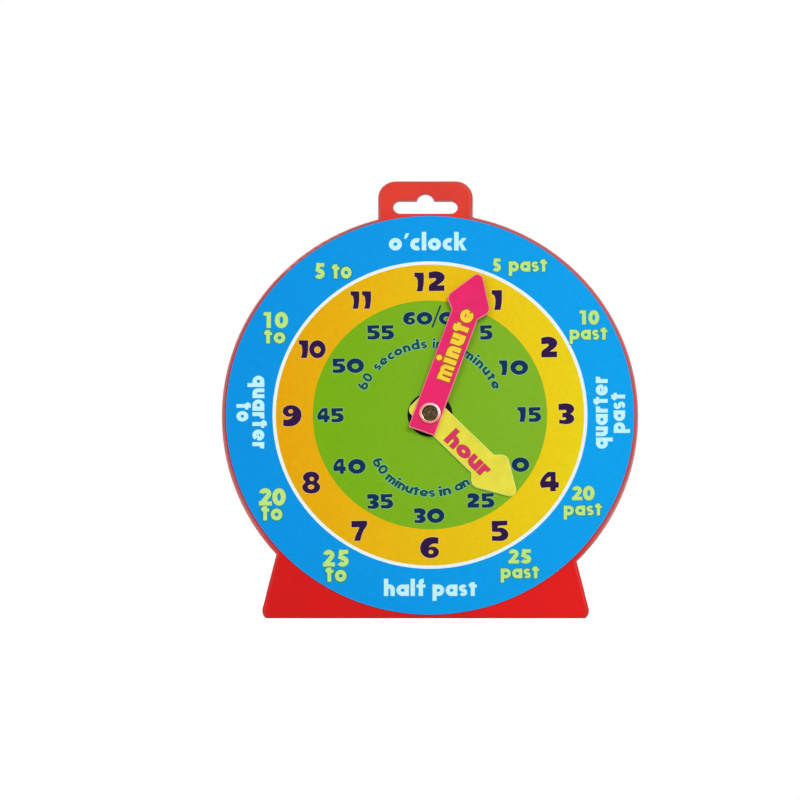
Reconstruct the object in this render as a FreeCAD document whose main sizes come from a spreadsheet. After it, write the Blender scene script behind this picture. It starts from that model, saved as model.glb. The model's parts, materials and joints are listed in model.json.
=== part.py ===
import FreeCAD, Part
import math
import os
import re

import Sketcher
from FreeCAD import Placement, Rotation, Vector

# Geared teaching clock: a shallow plastic board with a round dial, a hanging loop and a flat foot.
# Two riveted hands turn in front, a 12 to 1 gear train sits under a cover behind, and a fold-out
# leg props the board up so that it leans back.
#
# The clock's frame, in which every piece but the leg is drawn, has its origin on the hands' axis at
# the board's face: X to the right, Y up the board, Z straight out of the face towards the reader.
# The last step leans that frame back and stands the clock on the floor, Z up, front towards -Y.
# Lengths are millimetres, angles are degrees, and a hand's angle runs clockwise from twelve.

SIZES = {
    # stance
    "lean_angle": 12.6,
    "dial_height": 100.4,
    # board: a shallow pan moulded in one with the hanging loop and the foot
    "rim_radius": 103.1,
    "rim_round": 1.8,
    "root_round": 1.0,
    "board_depth": 4.2,
    "board_wall": 2.0,
    "flange_width": 2.4,
    "tab_offset": -2.2,
    "foot_half_width": 82.0,
    "foot_side_angle": 14.2,
    "foot_corner": 4.5,
    "foot_overlap": 20.0,
    "loop_half_width": 23.5,
    "loop_rise": 16.1,
    "loop_corner": 8.6,
    "slot_length": 32.0,
    "slot_width": 6.9,
    "slot_rise": 2.75,
    "bump_radius": 4.4,
    "bump_rise": 2.55,
    "slot_round": 0.4,
    "rib_width": 1.6,
    "rib_drop": 0.6,
    "ring_rib_radius": 67.5,
    "rib_step_angle": 30.0,
    "foot_rib_spacing": 32.0,
    # dial card
    "card_radius": 101.1,
    "card_thickness": 0.4,
    "card_hole_gap": 0.35,
    # fits
    "running_gap": 0.08,
    "key_gap": 0.04,
    "seat_gap": 0.02,
    "face_gap": 0.1,
    # gear train: minute pinion into idler wheel, idler pinion into hour wheel
    "module": 1.0,
    "pressure_angle": 20.0,
    "tooth_thinning": 0.1,
    "minute_teeth": 15,
    "idler_teeth": 45,
    "drive_teeth": 12,
    "minute_shift_share": 0.15,
    "drive_shift_share": 0.30,
    "wheel_face": 3.0,
    "pinion_overhang": 0.15,
    "train_gap": 0.3,
    "level_gap": 0.6,
    "web_recess": 0.8,
    "web_rim": 3.4,
    "wheel_boss_radius": 11.0,
    "thrust_width": 2.6,
    "idler_pin_radius": 1.5,
    "idler_pin_seat": 1.2,
    "idler_seat_radius": 3.2,
    "idler_washer_radius": 4.4,
    "idler_washer_thickness": 0.4,
    # hour hub, which shows as the black disc behind the hands
    "hub_radius": 11.1,
    "hub_proud": 0.5,
    "hub_round": 0.3,
    "tenon_radius": 4.9,
    "tenon_flat": 4.4,
    # hands
    "hand_thickness": 1.3,
    "hand_round": 0.45,
    "notch_round": 0.8,
    "hand_washer_radius": 6.0,
    "hand_washer_thickness": 0.3,
    "minute_angle": 19.9,
    "minute_offset": -0.95,
    "minute_half_width": 6.9,
    "minute_tail": 9.8,
    "minute_tail_round": 0.8,
    "minute_shaft": 53.1,
    "minute_barb_reach": 11.7,
    "minute_barb_rise": 5.7,
    "minute_barb_round": 3.7,
    "minute_barb_slant": 0.25,
    "minute_tip": 77.3,
    "minute_tip_round": 3.0,
    "hour_angle": 134.8,
    "hour_offset": -0.55,
    "hour_half_width": 7.15,
    "hour_tail": 9.9,
    "hour_tail_round": 3.0,
    "hour_shaft": 36.1,
    "hour_barb_reach": 12.1,
    "hour_barb_rise": 4.6,
    "hour_barb_round": 4.2,
    "hour_barb_slant": 0.75,
    "hour_tip": 61.2,
    "hour_tip_round": 3.2,
    "pipe_radius": 3.6,
    "pipe_flat": 2.9,
    # rivet and its washers
    "rivet_radius": 2.0,
    "rivet_head_radius": 5.3,
    "rivet_head_height": 1.0,
    "rivet_head_round": 0.5,
    "rivet_dish_radius": 4.1,
    "rivet_dish_floor": 3.4,
    "rivet_dish_depth": 0.5,
    "rivet_tail_radius": 3.4,
    "rivet_tail_height": 0.8,
    "washer_radius": 4.6,
    "washer_thickness": 0.5,
    "spring_radius": 6.0,
    "spring_thickness": 0.3,
    "spring_height": 0.75,
    # gear cover and its screws
    "cover_half_width": 29.0,
    "cover_margin": 4.0,
    "cover_corner": 8.0,
    "cover_wall": 2.0,
    "cover_round": 1.4,
    "boss_radius": 3.4,
    "pilot_depth": 7.0,
    "screw_radius": 1.25,
    "screw_hole_gap": 0.25,
    "screw_length": 6.6,
    "screw_point": 0.9,
    "screw_head_radius": 2.5,
    "screw_head_height": 1.5,
    "screw_head_round": 0.7,
    "screw_sink_gap": 0.4,
    "screw_sink_depth": 0.7,
    "screw_slot_width": 0.7,
    "screw_slot_depth": 0.8,
    # hinge and leg
    "hinge_drop": 9.0,
    "hinge_standoff": 7.0,
    "ear_gauge": 10.8,
    "ear_thickness": 4.0,
    "ear_radius": 3.8,
    "ear_root": 7.0,
    "leg_side_gap": 0.3,
    "barrel_radius": 3.6,
    "hinge_pin_radius": 1.5,
    "hinge_pin_proud": 0.6,
    "leg_angle": 17.0,
    "leg_neck": 8.0,
    "leg_foot_half_width": 29.0,
    "leg_wall": 2.6,
    "leg_flange_depth": 4.6,
    "leg_flange_width": 2.2,
    "leg_corner": 4.0,
    "leg_cell_round": 1.2,
    "leg_cells": 3,
    "heel_height": 4.5,
    "heel_back": 0.4,
    "heel_gap": 0.3,
    # how far a cut runs past the faces that it opens
    "overrun": 6.0,
}

doc = FreeCAD.newDocument("teaching_clock")
sheet = doc.addObject("Spreadsheet::Sheet", "sizes")
for row, (alias, number) in enumerate(SIZES.items(), start=1):
    sheet.set("A%d" % row, alias)
    sheet.set("B%d" % row, str(number))
    sheet.setAlias("B%d" % row, alias)
doc.recompute()


# Reading the sheet, and tying objects to it.


def value(expression):
    """The number that a sum of the sheet's names gives now."""
    return float(sheet.evalExpression(expression))


def tie(thing, name, expression):
    """Ties a property or a constraint to a sum of the sheet's names."""
    thing.setExpression(name, re.sub(r"[a-z_]*[a-z]", lambda word: "sizes." + word.group(), expression))


# Places along the hands' axis, as sums of the sheet's names, from the board's face backwards.
HOUR_WHEEL_TOP = "-board_wall-train_gap"
HOUR_WHEEL_BACK = HOUR_WHEEL_TOP + "-wheel_face"
IDLER_WHEEL_TOP = HOUR_WHEEL_BACK + "-level_gap"
IDLER_WHEEL_BACK = IDLER_WHEEL_TOP + "-wheel_face"
MINUTE_PINION_TOP = IDLER_WHEEL_TOP + "+pinion_overhang"
MINUTE_PINION_BACK = IDLER_WHEEL_BACK + "-pinion_overhang"
SPRING_TOP = MINUTE_PINION_BACK + "-face_gap"
COVER_FLOOR = SPRING_TOP + "-spring_height"
COVER_BACK = COVER_FLOOR + "-cover_wall"
RIVET_WASHER_BACK = COVER_BACK + "-washer_thickness"
RIVET_TAIL_END = RIVET_WASHER_BACK + "-rivet_tail_height"
IDLER_WASHER_TOP = IDLER_WHEEL_BACK + "-face_gap"
IDLER_WASHER_BACK = IDLER_WASHER_TOP + "-idler_washer_thickness"

# And from the board's face forwards.
HOUR_HAND_TOP = "hub_proud+hand_thickness"
HAND_WASHER_TOP = HOUR_HAND_TOP + "+hand_washer_thickness"
MINUTE_HAND_BACK = HAND_WASHER_TOP + "+face_gap"
MINUTE_HAND_TOP = MINUTE_HAND_BACK + "+hand_thickness"
RIVET_HEAD_BACK = MINUTE_HAND_TOP + "+face_gap"
RIVET_HEAD_TOP = RIVET_HEAD_BACK + "+rivet_head_height"

# The idler stands above the hands' axis, and the hour wheel closes the train at the same distance.
IDLER_Y = value("module*(minute_teeth+idler_teeth)/2")
HOUR_TEETH = "minute_teeth+idler_teeth-drive_teeth"

# The cover's lower and upper edges clear both wheels.
COVER_LOW = -value("module*(%s)/2+cover_margin" % HOUR_TEETH)
COVER_HIGH = IDLER_Y + value("module*(idler_teeth/2+1)+cover_margin")

# The stance: the floor meets the board's face at FOOT_Y, and the leg's own frame has its origin on
# the hinge, Y up the leg and Z towards the board.
LEAN = math.radians(value("lean_angle"))
SPLAY_ANGLE = value("lean_angle+leg_angle")
FOOT_Y = -value("dial_height") / math.cos(LEAN)
HINGE_Y = COVER_LOW - value("hinge_drop")
HINGE_Z = -value("board_wall+hinge_standoff")
HINGE_HEIGHT = value("dial_height") + HINGE_Y * math.cos(LEAN) + HINGE_Z * math.sin(LEAN)
LEG_FOOT_Y = -HINGE_HEIGHT / math.cos(math.radians(value("leg_angle")))
CLOCK_TURN = Rotation(Vector(1, 0, 0), 90 - value("lean_angle"))


# Drawing: bodies, sketches and outlines.


def new_body(label):
    body = doc.addObject("PartDesign::Body", label)
    body.Label = label
    return body


def new_sketch(body, name, height="0", role="XY_Plane"):
    """A sketch on one of the body's own planes, moved along that plane's normal."""
    plane = next(item for item in body.Origin.OriginFeatures if item.Role == role)
    sketch = body.newObject("Sketcher::SketchObject", name)
    sketch.AttachmentSupport = [(plane, "")]
    sketch.MapMode = "FlatFace"
    tie(sketch, "AttachmentOffset.Base.z", height)
    return sketch


def draw_circle(sketch, radius, x=0.0, y=0.0):
    """A circle whose radius follows a sum of the sheet's names."""
    circle = Part.Circle(Vector(x, y, 0), Vector(0, 0, 1), value(radius))
    index = sketch.addGeometry(circle, False)
    tied = sketch.addConstraint(Sketcher.Constraint("Radius", index, value(radius)))
    tie(sketch, "Constraints[%d]" % tied, radius)


def draw_outline(sketch, corners):
    """A closed outline through (x, y, corner radius) points, with an arc in each round corner."""
    points = [Vector(x, y, 0) for x, y, _ in corners]
    count = len(corners)
    entries, exits, pieces = [], [], []
    for i, (x, y, radius) in enumerate(corners):
        before = (points[i - 1] - points[i]).normalize()
        after = (points[(i + 1) % count] - points[i]).normalize()
        half = before.getAngle(after) / 2
        reach = radius / math.tan(half)
        entries.append(points[i] + before * reach)
        exits.append(points[i] + after * reach)
        if radius > 0:
            middle = (before + after).normalize() * (radius / math.sin(half) - radius)
            pieces.append(Part.Arc(entries[i], points[i] + middle, exits[i]))
    for i in range(count):
        if (entries[i] - exits[i - 1]).Length > value("seat_gap") / 10:
            pieces.append(Part.LineSegment(exits[i - 1], entries[i]))
    sketch.addGeometry(pieces, False)


def box_corners(x_low, x_high, y_low, y_high, radius=0.0):
    return [
        (x_low, y_low, radius),
        (x_high, y_low, radius),
        (x_high, y_high, radius),
        (x_low, y_high, radius),
    ]


def draw_keyed(sketch, radius, flat):
    """A circle with two flats, which keys one piece to another."""
    top = math.sqrt(radius * radius - flat * flat)
    right_high, right_low = Vector(flat, top, 0), Vector(flat, -top, 0)
    left_high, left_low = Vector(-flat, top, 0), Vector(-flat, -top, 0)
    upper = Part.Arc(right_high, Vector(0, radius, 0), left_high)
    lower = Part.Arc(left_low, Vector(0, -radius, 0), right_low)
    sides = [Part.LineSegment(left_high, left_low), Part.LineSegment(right_low, right_high)]
    sketch.addGeometry([upper, lower] + sides, False)


# Features. Each one is recomputed at once and has to change the body's volume the right way.


def finish_feature(body, feature, grows):
    before = body.Shape.Volume if body.Shape.Solids else 0.0
    doc.recompute()
    change = body.Shape.Volume - before
    if (change <= 0) if grows else (change >= 0):
        raise ValueError("%s of %s changed nothing" % (feature.Label, body.Label))


def pad(body, sketch, length, backwards=True):
    """Adds the sketch's area over a length, from its plane backwards or forwards."""
    feature = body.newObject("PartDesign::Pad", sketch.Name + "_pad")
    feature.Profile = sketch
    tie(feature, "Length", length)
    feature.Reversed = backwards
    finish_feature(body, feature, True)


def pocket(body, sketch, length, backwards=True):
    """Cuts the sketch's area away over a length, from its plane backwards or forwards."""
    feature = body.newObject("PartDesign::Pocket", sketch.Name + "_pocket")
    feature.Profile = sketch
    tie(feature, "Length", length)
    feature.Reversed = not backwards
    finish_feature(body, feature, False)


def drill(body, name, height, radius, depth, places=((0.0, 0.0),), backwards=True):
    """Round holes of one radius and depth from one level."""
    sketch = new_sketch(body, name, height)
    for x, y in places:
        draw_circle(sketch, radius, x, y)
    pocket(body, sketch, depth, backwards)


def post(body, name, height, radius, length, places=((0.0, 0.0),), backwards=True):
    """Round posts of one radius and length from one level."""
    sketch = new_sketch(body, name, height)
    for x, y in places:
        draw_circle(sketch, radius, x, y)
    pad(body, sketch, length, backwards)


def turned(label, corners):
    """A body turned about the hands' axis from (radius, place on the axis, corner radius) points."""
    body = new_body(label)
    sketch = new_sketch(body, label + "_profile", role="XZ_Plane")
    draw_outline(sketch, corners)
    feature = body.newObject("PartDesign::Revolution", label + "_turn")
    feature.Profile = sketch
    axis = next(item for item in body.Origin.OriginFeatures if item.Role == "Z_Axis")
    feature.ReferenceAxis = (axis, [""])
    feature.Angle = 360
    finish_feature(body, feature, True)
    return body


def cut_key(body, name, top, keyed, depth):
    """A keyed hole for the tenon or the pipe, a little wider than it."""
    sketch = new_sketch(body, name, top)
    draw_keyed(sketch, value(keyed + "_radius+key_gap"), value(keyed + "_flat+key_gap"))
    pocket(body, sketch, depth)


def ring(label, top, thickness, inner, outer):
    """A flat washer."""
    body = new_body(label)
    sketch = new_sketch(body, label + "_profile", top)
    draw_circle(sketch, outer)
    draw_circle(sketch, inner)
    pad(body, sketch, thickness)
    return body


def soften(body, name, radius, wanted, grows=False):
    """Rounds the edges of the body that are wanted, which fills them in where they are hollow ones."""
    edges = ["Edge%d" % i for i, edge in enumerate(body.Shape.Edges, start=1) if wanted(edge)]
    base = body.Tip
    feature = body.newObject("PartDesign::Fillet", name)
    feature.Base = (base, edges)
    tie(feature, "Radius", radius)
    finish_feature(body, feature, grows)


def lies_at(edge, level):
    """True if the whole edge lies at one level of the body's own Z."""
    near = value("seat_gap") / 4
    return abs(edge.BoundBox.ZMin - level) < near and abs(edge.BoundBox.ZMax - level) < near


def cut_at_floor(body, name, line_y, slope, half_width):
    """Cuts off what is below the floor, whose line in the YZ plane passes through (line_y, 0)."""
    sketch = new_sketch(body, name, half_width + "+overrun", "YZ_Plane")
    over = value("overrun")
    reach = value("board_depth+leg_flange_depth") + over
    ends = [(line_y - slope * reach, -reach), (line_y + slope * reach, reach)]
    corners = [(y, z, 0.0) for y, z in ends] + [(y - reach - over, z, 0.0) for y, z in reversed(ends)]
    draw_outline(sketch, corners)
    pocket(body, sketch, "2*(%s+overrun)" % half_width)


# Gear teeth: an involute outline as one closed row of splines, arcs and short lines. The shares
# say where a flank's points lie between its foot and its tip.
FLANK_SHARES = (0.0, 0.3, 0.65, 1.0)


def polar(radius, angle):
    return Vector(radius * math.sin(angle), radius * math.cos(angle), 0)


def draw_gear(sketch, teeth, shift, first_angle):
    """Teeth with a profile shift, the first of them centred at an angle clockwise from Y."""
    module = value("module")
    pressure = math.radians(value("pressure_angle"))
    pitch_radius = module * teeth / 2
    base_radius = pitch_radius * math.cos(pressure)
    tip_radius = pitch_radius + module * (1 + shift)
    root_radius = pitch_radius - module * (1.25 - shift)
    thickness = module * (math.pi / 2 + 2 * shift * math.tan(pressure)) - value("tooth_thinning")

    def involute(radius):
        """The angle by which the flank at this radius leans from its start on the base circle."""
        roll = math.acos(min(1.0, base_radius / radius))
        return math.tan(roll) - roll

    def half_angle(radius):
        return thickness / (2 * pitch_radius) + involute(pitch_radius) - involute(radius)

    start_radius = max(base_radius, root_radius)
    flank = [start_radius + (tip_radius - start_radius) * share for share in FLANK_SHARES]
    pieces = []
    for tooth in range(int(teeth)):
        centre = first_angle + 2 * math.pi * tooth / teeth
        after = first_angle + 2 * math.pi * (tooth + 1) / teeth
        rising = [polar(radius, centre - half_angle(radius)) for radius in flank]
        falling = [polar(radius, centre + half_angle(radius)) for radius in reversed(flank)]
        for side in (rising, falling):
            curve = Part.BSplineCurve()
            curve.interpolate(side)
            pieces.append(curve)
        pieces.append(Part.Arc(rising[-1], polar(tip_radius, centre), falling[0]))
        left = polar(root_radius, centre + half_angle(start_radius))
        right = polar(root_radius, after - half_angle(start_radius))
        pieces.append(Part.Arc(left, polar(root_radius, (centre + after) / 2), right))
        if start_radius > root_radius:
            next_foot = polar(start_radius, after - half_angle(start_radius))
            pieces.append(Part.LineSegment(falling[-1], left))
            pieces.append(Part.LineSegment(right, next_foot))
    sketch.addGeometry(pieces, False)


# The board.


def foot_side(y):
    """The foot's half width at a height on the board."""
    return value("foot_half_width") - (y - FOOT_Y) * math.tan(math.radians(value("foot_side_angle")))


def foot_corners(inset, bottom, corner):
    """The foot's outline, drawn in from its sides, down to a bottom line."""
    middle = value("tab_offset")
    top = -value("foot_overlap")
    slant = inset / math.cos(math.radians(value("foot_side_angle")))
    low, high = foot_side(bottom) - slant, foot_side(top) - slant
    return [
        (middle - low, bottom, corner),
        (middle + low, bottom, corner),
        (middle + high, top, 0.0),
        (middle - high, top, 0.0),
    ]


def screw_places():
    """The cover's screws stand at the centres of its rounded corners."""
    across = value("cover_half_width-cover_corner")
    corner = value("cover_corner")
    return [(side * across, y) for side in (-1, 1) for y in (COVER_LOW + corner, COVER_HIGH - corner)]


def add_board_blank(body):
    """The disc with its loop and foot, one thick plate with a rounded front edge."""
    post(body, "disc", "0", "rim_radius", "board_depth")
    middle, half = value("tab_offset"), value("loop_half_width")
    top, corner = value("rim_radius+loop_rise"), value("loop_corner")
    loop = new_sketch(body, "loop")
    shoulder = value("rim_radius") - half
    draw_outline(loop, [
        (middle - half, shoulder, 0.0),
        (middle + half, shoulder, 0.0),
        (middle + half, top, corner),
        (middle - half, top, corner),
    ])
    pad(body, loop, "board_depth")
    foot = new_sketch(body, "foot")
    draw_outline(foot, foot_corners(0.0, FOOT_Y, value("foot_corner")))
    pad(body, foot, "board_depth")

    rim = value("rim_radius")
    near = value("seat_gap")

    def is_root(edge):
        """An upright edge on the rim's circle, where the loop or the foot leaves the disc."""
        box = edge.BoundBox
        upright = box.ZLength > near and box.XLength < near and box.YLength < near
        return upright and abs(math.hypot(box.XMin, box.YMin) - rim) < near

    soften(body, "root_fillets", "root_round", is_root, grows=True)
    soften(body, "front_edge", "rim_round", lambda edge: lies_at(edge, 0.0))


def add_hang_slot(body):
    """The hanging slot, a long slot with a round bump at the middle of its upper side."""
    middle, slot_y = value("tab_offset"), value("rim_radius+slot_rise")
    half, radius = value("slot_length/2"), value("slot_width/2")
    slot = new_sketch(body, "hang_slot")
    draw_outline(slot, box_corners(middle - half, middle + half, slot_y - radius, slot_y + radius, radius))
    pocket(body, slot, "board_depth")
    bump_y = slot_y + value("bump_rise")
    drill(body, "hang_bump", "0", "bump_radius", "board_depth", [(middle, bump_y)])
    near = value("seat_gap")

    def is_mouth(edge):
        """An edge of the slot in the board's face."""
        box = edge.BoundBox
        inside = box.YMin > slot_y - radius - near and box.YMax < bump_y + value("bump_radius") + near
        return lies_at(edge, 0.0) and inside and abs(box.Center.x - middle) < half + near

    soften(body, "slot_mouth", "slot_round", is_mouth)


def add_pan(body):
    """The hollow behind the face, which leaves a flange all round, and the ribs in it."""
    drill(body, "pan", "-board_depth", "rim_radius-flange_width", "board_depth-board_wall",
          backwards=False)
    flange = value("flange_width")
    bottom = FOOT_Y + flange + value("board_depth") * math.tan(LEAN)
    foot = new_sketch(body, "foot_pan", "-board_depth")
    draw_outline(foot, foot_corners(flange, bottom, value("foot_corner") - flange / 2))
    pocket(body, foot, "board_depth-board_wall", backwards=False)

    rib_depth = "board_depth-board_wall-rib_drop"
    ring_rib = new_sketch(body, "ring_rib", "-board_wall")
    draw_circle(ring_rib, "ring_rib_radius+rib_width/2")
    draw_circle(ring_rib, "ring_rib_radius-rib_width/2")
    pad(body, ring_rib, rib_depth)

    half, start = value("rib_width/2"), value("ring_rib_radius")
    spokes = new_sketch(body, "spokes", "-board_wall")
    end = value("rim_radius-flange_width/2")
    step = value("rib_step_angle")
    for turn in range(int(round(240 / step)) + 1):
        along = polar(1.0, math.radians(turn * step - 120))
        side = Vector(along.y, -along.x, 0) * half
        corners = [along * start - side, along * end - side, along * end + side, along * start + side]
        draw_outline(spokes, [(corner.x, corner.y, 0.0) for corner in corners])
    spacing = value("foot_rib_spacing")
    for x in (-1.5 * spacing, -0.5 * spacing, 0.5 * spacing, 1.5 * spacing):
        top = -math.sqrt(start * start - x * x)
        draw_outline(spokes, box_corners(x - half, x + half, bottom - flange / 2, top))
    pad(body, spokes, rib_depth)


def add_train_seats(body):
    """The hub's bore, the idler's seat and the cover's screw bosses."""
    drill(body, "hub_bore", "0", "hub_radius+running_gap", "board_depth")
    post(body, "idler_seat", "-board_wall", "idler_seat_radius", "train_gap-face_gap", [(0.0, IDLER_Y)])
    post(body, "screw_bosses", "-board_wall", "boss_radius", "-board_wall-(%s)" % COVER_FLOOR,
         screw_places())
    drill(body, "screw_pilots", COVER_FLOOR, "screw_radius+seat_gap", "pilot_depth", screw_places(),
          backwards=False)
    drill(body, "idler_pin_seat", "-board_wall-train_gap+face_gap", "idler_pin_radius+seat_gap",
          "idler_pin_seat", [(0.0, IDLER_Y)], backwards=False)


def add_hinge_ears(body):
    """The two ears that hold the leg's hinge pin, drawn in the YZ plane."""
    radius, root = value("ear_radius"), value("ear_root")
    base = -value("board_wall") / 2
    outline = [
        (HINGE_Y - root, base, 0.0),
        (HINGE_Y + root, base, 0.0),
        (HINGE_Y + radius, HINGE_Z - radius, radius),
        (HINGE_Y - radius, HINGE_Z - radius, radius),
    ]
    for side, start in (("left", "-ear_gauge-ear_thickness"), ("right", "ear_gauge")):
        ear = new_sketch(body, side + "_ear", start, "YZ_Plane")
        draw_outline(ear, outline)
        pad(body, ear, "ear_thickness", backwards=False)
    hole = new_sketch(body, "ear_holes", "ear_gauge+ear_thickness+overrun", "YZ_Plane")
    draw_circle(hole, "hinge_pin_radius+seat_gap", HINGE_Y, HINGE_Z)
    pocket(body, hole, "2*(ear_gauge+ear_thickness+overrun)")


def make_board():
    body = new_body("clock_board")
    add_board_blank(body)
    add_hang_slot(body)
    add_pan(body)
    add_train_seats(body)
    add_hinge_ears(body)
    cut_at_floor(body, "board_floor_cut", FOOT_Y, -math.tan(LEAN), "rim_radius")
    return body


def make_dial_card():
    body = new_body("dial_card")
    sketch = new_sketch(body, "card_outline")
    draw_circle(sketch, "card_radius")
    draw_circle(sketch, "hub_radius+card_hole_gap")
    pad(body, sketch, "card_thickness", backwards=False)
    return body


# The gear train.


def make_hour_wheel():
    """The wheel with its keyed tenon, which carries the hub disc and the hour hand."""
    body = new_body("hour_wheel")
    teeth = new_sketch(body, "hour_teeth", HOUR_WHEEL_TOP)
    draw_gear(teeth, value(HOUR_TEETH), -value("drive_shift_share"), -math.radians(value("hour_angle")))
    pad(body, teeth, "wheel_face")
    recess = new_sketch(body, "hour_web", HOUR_WHEEL_BACK)
    draw_circle(recess, "module*(%s)/2-web_rim" % HOUR_TEETH)
    draw_circle(recess, "wheel_boss_radius")
    pocket(body, recess, "web_recess", backwards=False)
    tenon = new_sketch(body, "tenon", HOUR_WHEEL_TOP)
    draw_keyed(tenon, value("tenon_radius"), value("tenon_flat"))
    pad(body, tenon, "%s-(%s)" % (HOUR_HAND_TOP, HOUR_WHEEL_TOP), backwards=False)
    drill(body, "hour_bore", HOUR_HAND_TOP, "pipe_radius+running_gap",
          "%s-(%s)" % (HOUR_HAND_TOP, HOUR_WHEEL_BACK))
    return body


def make_hub_disc():
    """The disc that turns in the board's bore and shows behind the hands."""
    body = new_body("hub_disc")
    post(body, "hub", HOUR_WHEEL_TOP, "hub_radius", "hub_proud-(%s)" % HOUR_WHEEL_TOP, backwards=False)
    soften(body, "hub_edge", "hub_round", lambda edge: lies_at(edge, value("hub_proud")))
    cut_key(body, "hub_key", "hub_proud", "tenon", "hub_proud-(%s)" % HOUR_WHEEL_TOP)
    return body


def make_thrust_washer():
    return ring("thrust_washer", "-board_wall", "train_gap-face_gap", "hub_radius+running_gap",
                "hub_radius+running_gap+thrust_width")


def make_minute_pinion():
    body = new_body("minute_pinion")
    teeth = new_sketch(body, "minute_pinion_teeth", MINUTE_PINION_TOP)
    draw_gear(teeth, value("minute_teeth"), value("minute_shift_share"),
              -math.radians(value("minute_angle")))
    pad(body, teeth, "wheel_face+2*pinion_overhang")
    cut_key(body, "minute_pinion_key", MINUTE_PINION_TOP, "pipe", "wheel_face+2*pinion_overhang")
    return body


def make_idler_gear():
    """The idler's wheel and pinion, moulded in one, in a frame of their own on the idler's axis."""
    body = new_body("idler_gear")
    wheel = new_sketch(body, "idler_wheel_teeth", IDLER_WHEEL_TOP)
    draw_gear(wheel, value("idler_teeth"), -value("minute_shift_share"), 0.0)
    pad(body, wheel, "wheel_face")
    recess = new_sketch(body, "idler_web", IDLER_WHEEL_BACK)
    draw_circle(recess, "module*idler_teeth/2-web_rim")
    draw_circle(recess, "wheel_boss_radius")
    pocket(body, recess, "web_recess", backwards=False)
    pinion = new_sketch(body, "idler_pinion_teeth", HOUR_WHEEL_TOP)
    draw_gear(pinion, value("drive_teeth"), value("drive_shift_share"), math.pi / value("drive_teeth"))
    pad(body, pinion, "wheel_face+level_gap")
    drill(body, "idler_bore", HOUR_WHEEL_TOP, "idler_pin_radius+running_gap", "2*wheel_face+level_gap")
    return body


def make_idler_pin():
    body = new_body("idler_pin")
    top = "-board_wall-train_gap+face_gap+idler_pin_seat-seat_gap"
    bottom = COVER_FLOOR + "-idler_pin_seat+seat_gap"
    post(body, "idler_pin_round", top, "idler_pin_radius", "%s-(%s)" % (top, bottom), [(0.0, IDLER_Y)])
    return body


def make_idler_washer():
    return ring("idler_washer", IDLER_WASHER_TOP, "idler_washer_thickness",
                "idler_pin_radius+running_gap", "idler_washer_radius")


# The hands and their rivet.


def draw_hand(sketch, name):
    """An arrow: a straight shaft, two barbs that rise outwards from the notches, and a tip.

    The right notch and barb stand lower than the left ones by twice the slant.
    """
    middle, half = value(name + "_offset"), value(name + "_half_width")
    tail, shaft = -value(name + "_tail"), value(name + "_shaft")
    tail_round, barb_round = value(name + "_tail_round"), value(name + "_barb_round")
    notch_round, barb = value("notch_round"), value(name + "_barb_reach")
    rise, slant = value(name + "_barb_rise"), value(name + "_barb_slant")
    right, left = shaft - slant, shaft + slant
    draw_outline(sketch, [
        (middle - half, tail, tail_round),
        (middle + half, tail, tail_round),
        (middle + half, right, notch_round),
        (middle + barb, right + rise, barb_round),
        (middle, value(name + "_tip"), value(name + "_tip_round")),
        (middle - barb, left + rise, barb_round),
        (middle - half, left, notch_round),
    ])


def make_hour_hand():
    body = new_body("hour_hand")
    outline = new_sketch(body, "hour_hand_outline", "hub_proud")
    draw_hand(outline, "hour")
    pad(body, outline, "hand_thickness", backwards=False)
    soften(body, "hour_hand_edge", "hand_round", lambda edge: lies_at(edge, value(HOUR_HAND_TOP)))
    cut_key(body, "hour_hand_key", HOUR_HAND_TOP, "tenon", "hand_thickness")
    return body


def make_minute_hand():
    body = new_body("minute_hand")
    outline = new_sketch(body, "minute_hand_outline", MINUTE_HAND_BACK)
    draw_hand(outline, "minute")
    pad(body, outline, "hand_thickness", backwards=False)
    soften(body, "minute_hand_edge", "hand_round", lambda edge: lies_at(edge, value(MINUTE_HAND_TOP)))
    cut_key(body, "minute_hand_key", MINUTE_HAND_TOP, "pipe", "hand_thickness")
    return body


def make_minute_pipe():
    """The pipe that runs in the hour wheel, with flats at both ends for the hand and the pinion."""
    body = new_body("minute_pipe")
    key = new_sketch(body, "pipe_key", MINUTE_HAND_TOP)
    draw_keyed(key, value("pipe_radius"), value("pipe_flat"))
    pad(body, key, "%s-(%s)" % (MINUTE_HAND_TOP, MINUTE_PINION_BACK))
    post(body, "pipe_round", MINUTE_HAND_BACK, "pipe_radius",
         "%s-(%s)" % (MINUTE_HAND_BACK, MINUTE_PINION_TOP))
    drill(body, "pipe_bore", MINUTE_HAND_TOP, "rivet_radius+running_gap",
          "%s-(%s)" % (MINUTE_HAND_TOP, MINUTE_PINION_BACK))
    return body


def make_hand_washer():
    return ring("hand_washer", HAND_WASHER_TOP, "hand_washer_thickness",
                "pipe_radius+running_gap", "hand_washer_radius")


def make_centre_rivet():
    """The rivet: a wide dished head in front and a rolled tail behind the cover."""
    head, shank, tail = value("rivet_head_radius"), value("rivet_radius"), value("rivet_tail_radius")
    head_back, head_top = value(RIVET_HEAD_BACK), value(RIVET_HEAD_TOP)
    washer_back, end = value(RIVET_WASHER_BACK), value(RIVET_TAIL_END)
    round_edge = value("rivet_head_round")
    dish_floor = head_top - value("rivet_dish_depth")
    return turned("centre_rivet", [
        (0.0, end, 0.0),
        (tail, end, value("rivet_tail_height") / 2),
        (tail, washer_back, 0.0),
        (shank, washer_back, 0.0),
        (shank, head_back, 0.0),
        (head, head_back, 0.0),
        (head, head_top, round_edge),
        (value("rivet_dish_radius"), head_top, round_edge / 2),
        (value("rivet_dish_floor"), dish_floor, round_edge / 2),
        (0.0, dish_floor, 0.0),
    ])


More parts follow.
